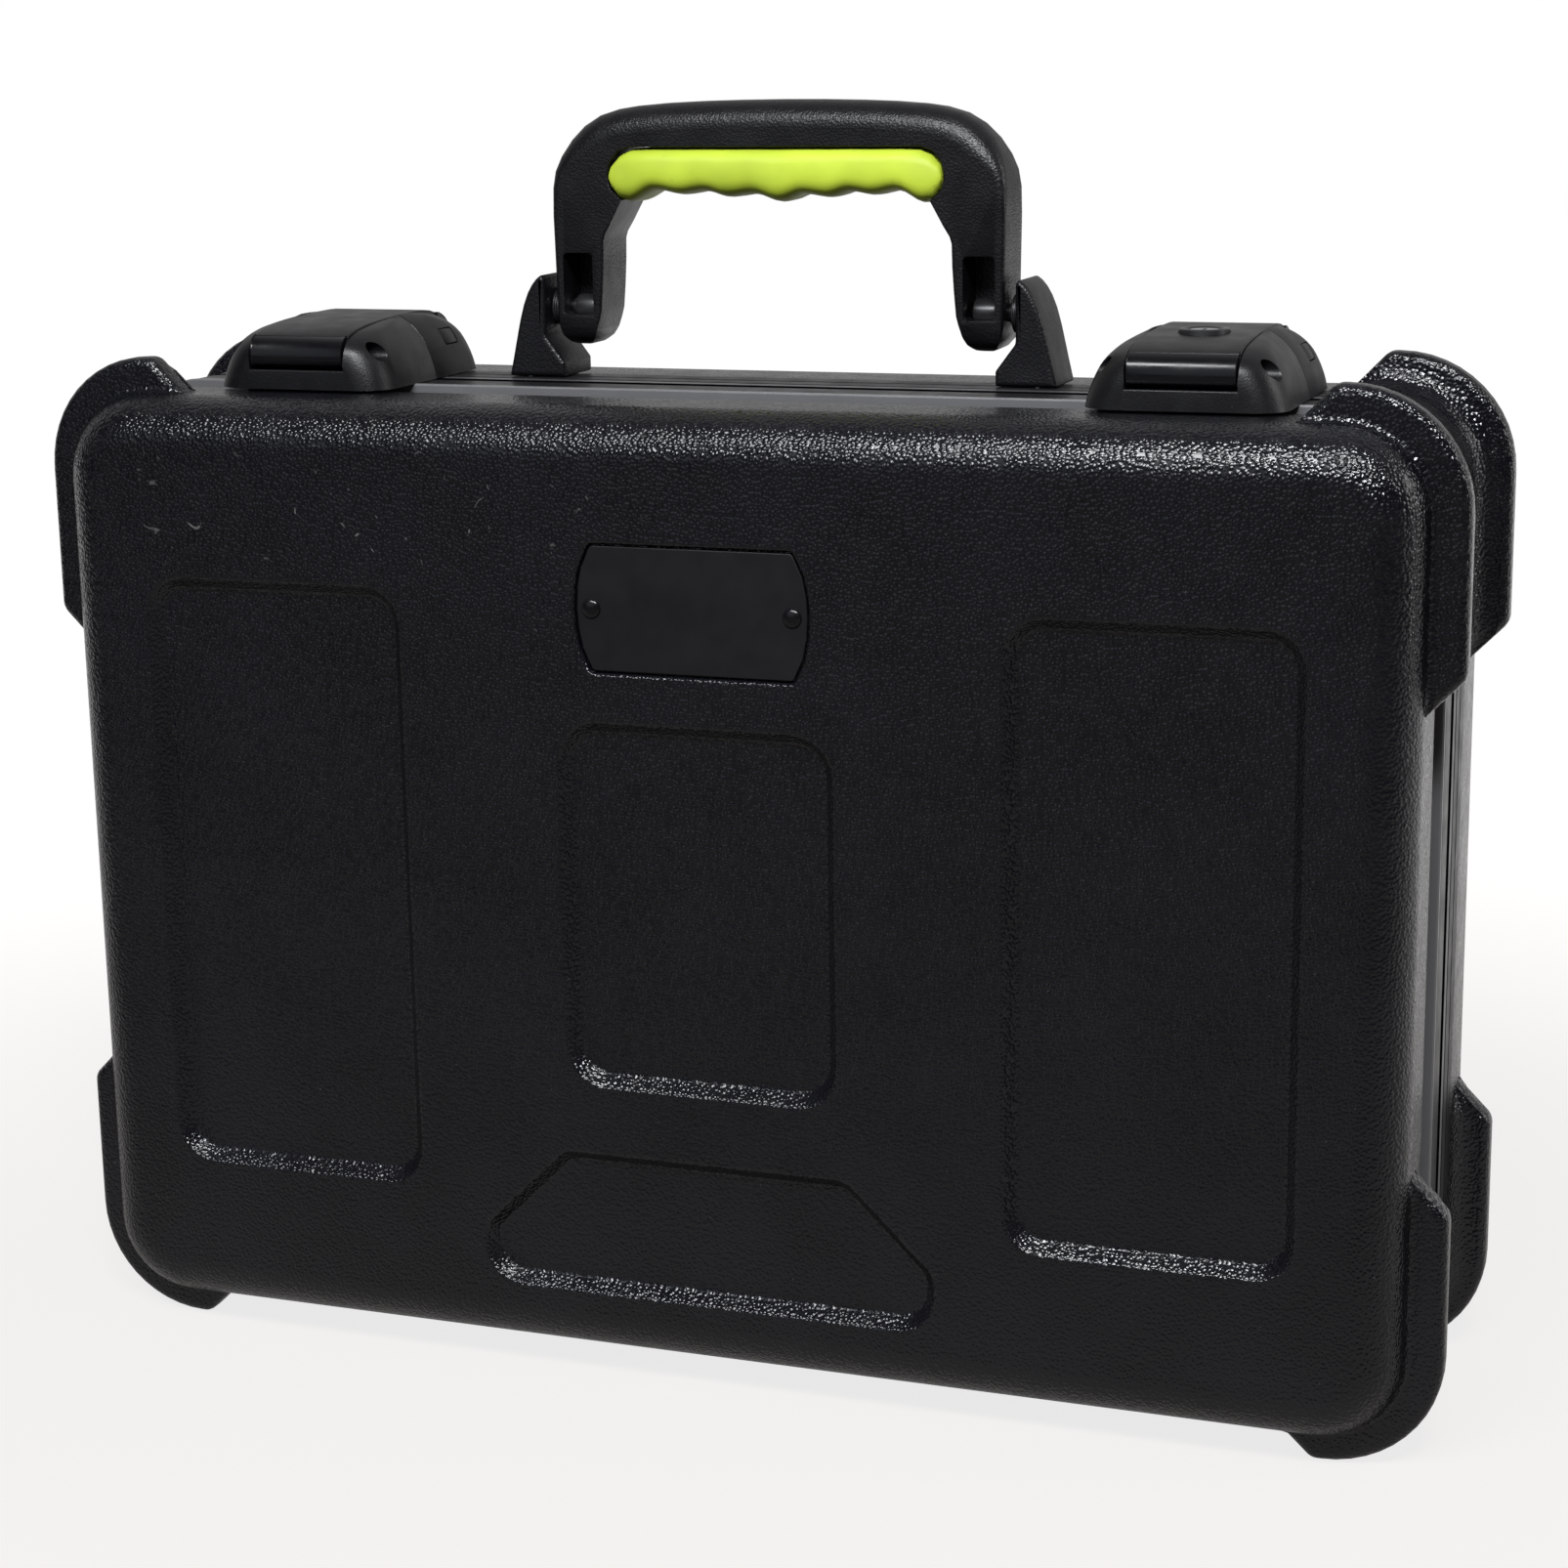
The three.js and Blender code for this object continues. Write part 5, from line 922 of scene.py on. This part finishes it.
# Mirrored in the case, the floor is dark in front of it and pale behind it.
mirrored = math_node(tree, "MAXIMUM", rays["Is Glossy Ray"], rays["Is Transmission Ray"])
fade = map_range(tree, split_axes(tree, where)["Y"], -0.8, 0.9, 0.02, 0.9, "SMOOTHSTEP")
glow = math_node(tree, "MULTIPLY", math_node(tree, "MULTIPLY", mirrored, fade), level)
# The camera looks through the floor at the white world, so that an opened lid still shows below it. Lamps reach
# that lid too. The plain part of the floor takes the shadow.
looked = math_node(tree, "MULTIPLY", level, rays["Is Camera Ray"])
passed = math_node(tree, "MAXIMUM", looked, rays["Is Shadow Ray"])
total = tree.nodes.new("ShaderNodeBsdfDiffuse")
total.inputs["Color"].default_value = (0.085, 0.07, 0.058, 1.0)
light_up = tree.nodes.new("ShaderNodeEmission")
tree.links.new(glow, light_up.inputs["Strength"])
clear = tree.nodes.new("ShaderNodeBsdfTransparent")
tree.links.new(passed, clear.inputs["Color"])
for part in (light_up, clear):
    both = tree.nodes.new("ShaderNodeAddShader")
    tree.links.new(total.outputs[0], both.inputs[0])
    tree.links.new(part.outputs[0], both.inputs[1])
    total = both
result = tree.nodes.new("ShaderNodeOutputMaterial")
tree.links.new(total.outputs[0], result.inputs["Surface"])
floor_mesh.materials.append(pale)

# The world is white for the camera. For other rays it is black below the horizon. Above it, it is dim and even
# for plain surfaces, and for glossy ones brighter towards the back.
world = bpy.data.worlds.new("studio")
scene.world = world
world.use_nodes = True
tree = world.node_tree
tree.nodes.clear()
rays = tree.nodes.new("ShaderNodeLightPath").outputs
axes = split_axes(tree, tree.nodes.new("ShaderNodeTexCoord").outputs["Generated"])
fade = map_range(tree, axes["Y"], -0.5, 0.6, 0.02, 0.46, "SMOOTHSTEP")
mirrored = math_node(tree, "MAXIMUM", rays["Is Glossy Ray"], rays["Is Transmission Ray"])
bright = tree.nodes.new("ShaderNodeMix")
tree.links.new(mirrored, bright.inputs[0])
bright.inputs[2].default_value = 0.17
tree.links.new(fade, bright.inputs[3])
above = map_range(tree, axes["Z"], -0.02, 0.0, 0.0, 1.0)
upper = math_node(tree, "MULTIPLY", bright.outputs[0], above)
back = tree.nodes.new("ShaderNodeBackground")
back.inputs["Color"].default_value = (1.0, 1.0, 1.0, 1.0)
tree.links.new(math_node(tree, "MAXIMUM", rays["Is Camera Ray"], upper), back.inputs["Strength"])
result = tree.nodes.new("ShaderNodeOutputWorld")
tree.links.new(back.outputs[0], result.inputs["Surface"])


def softbox(name, where, target, width, height, power, colour=(1, 1, 1)):
    """A rectangular lamp turned to a target. The camera doesn't see it."""
    data = bpy.data.lights.new(name, "AREA")
    data.shape, data.size, data.size_y, data.energy, data.color = "RECTANGLE", width, height, power, colour
    lamp = bpy.data.objects.new(name, data)
    lamp.location = where
    lamp.rotation_euler = (Vector(target) - Vector(where)).to_track_quat("-Z", "Y").to_euler()
    lamp.visible_camera = False
    scene.collection.objects.link(lamp)


COOL_WHITE = (0.96, 0.98, 1.0)
softbox("key_softbox", (0.1, -1.45, 1.70), (0, 0, 0.3), 1.5, 0.38, 45, COOL_WHITE)
softbox("key_spot", (0.60, -1.25, 1.60), (0.2, 0, 0.3), 0.32, 0.32, 16, COOL_WHITE)
softbox("front_softbox", (-0.8, -2.1, 1.0), (0, 0, 0.2), 1.8, 1.4, 4, (0.85, 0.93, 1.0))
softbox("right_softbox", (1.6, 0.3, 0.9), (0, 0, 0.2), 0.5, 0.9, 6)

lens = bpy.data.cameras.new("camera")
lens.sensor_width = 36.0
lens.lens = 73.357
camera = bpy.data.objects.new("camera", lens)
scene.collection.objects.link(camera)
# The camera's axes and place, as fitted to the photograph.
right = Vector((0.94139706, 0.33691926, -0.01603085))
up = Vector((-0.06329169, 0.22312862, 0.97273212))
ahead = Vector((-0.33130912, 0.91471254, -0.23137681))
camera.matrix_world = Matrix(((right.x, up.x, -ahead.x, 0.36498), (right.y, up.y, -ahead.y, -0.99189),
                              (right.z, up.z, -ahead.z, 0.44776), (0, 0, 0, 1)))
scene.camera = camera
scene.view_settings.view_transform = "Standard"

bpy.context.view_layer.update()
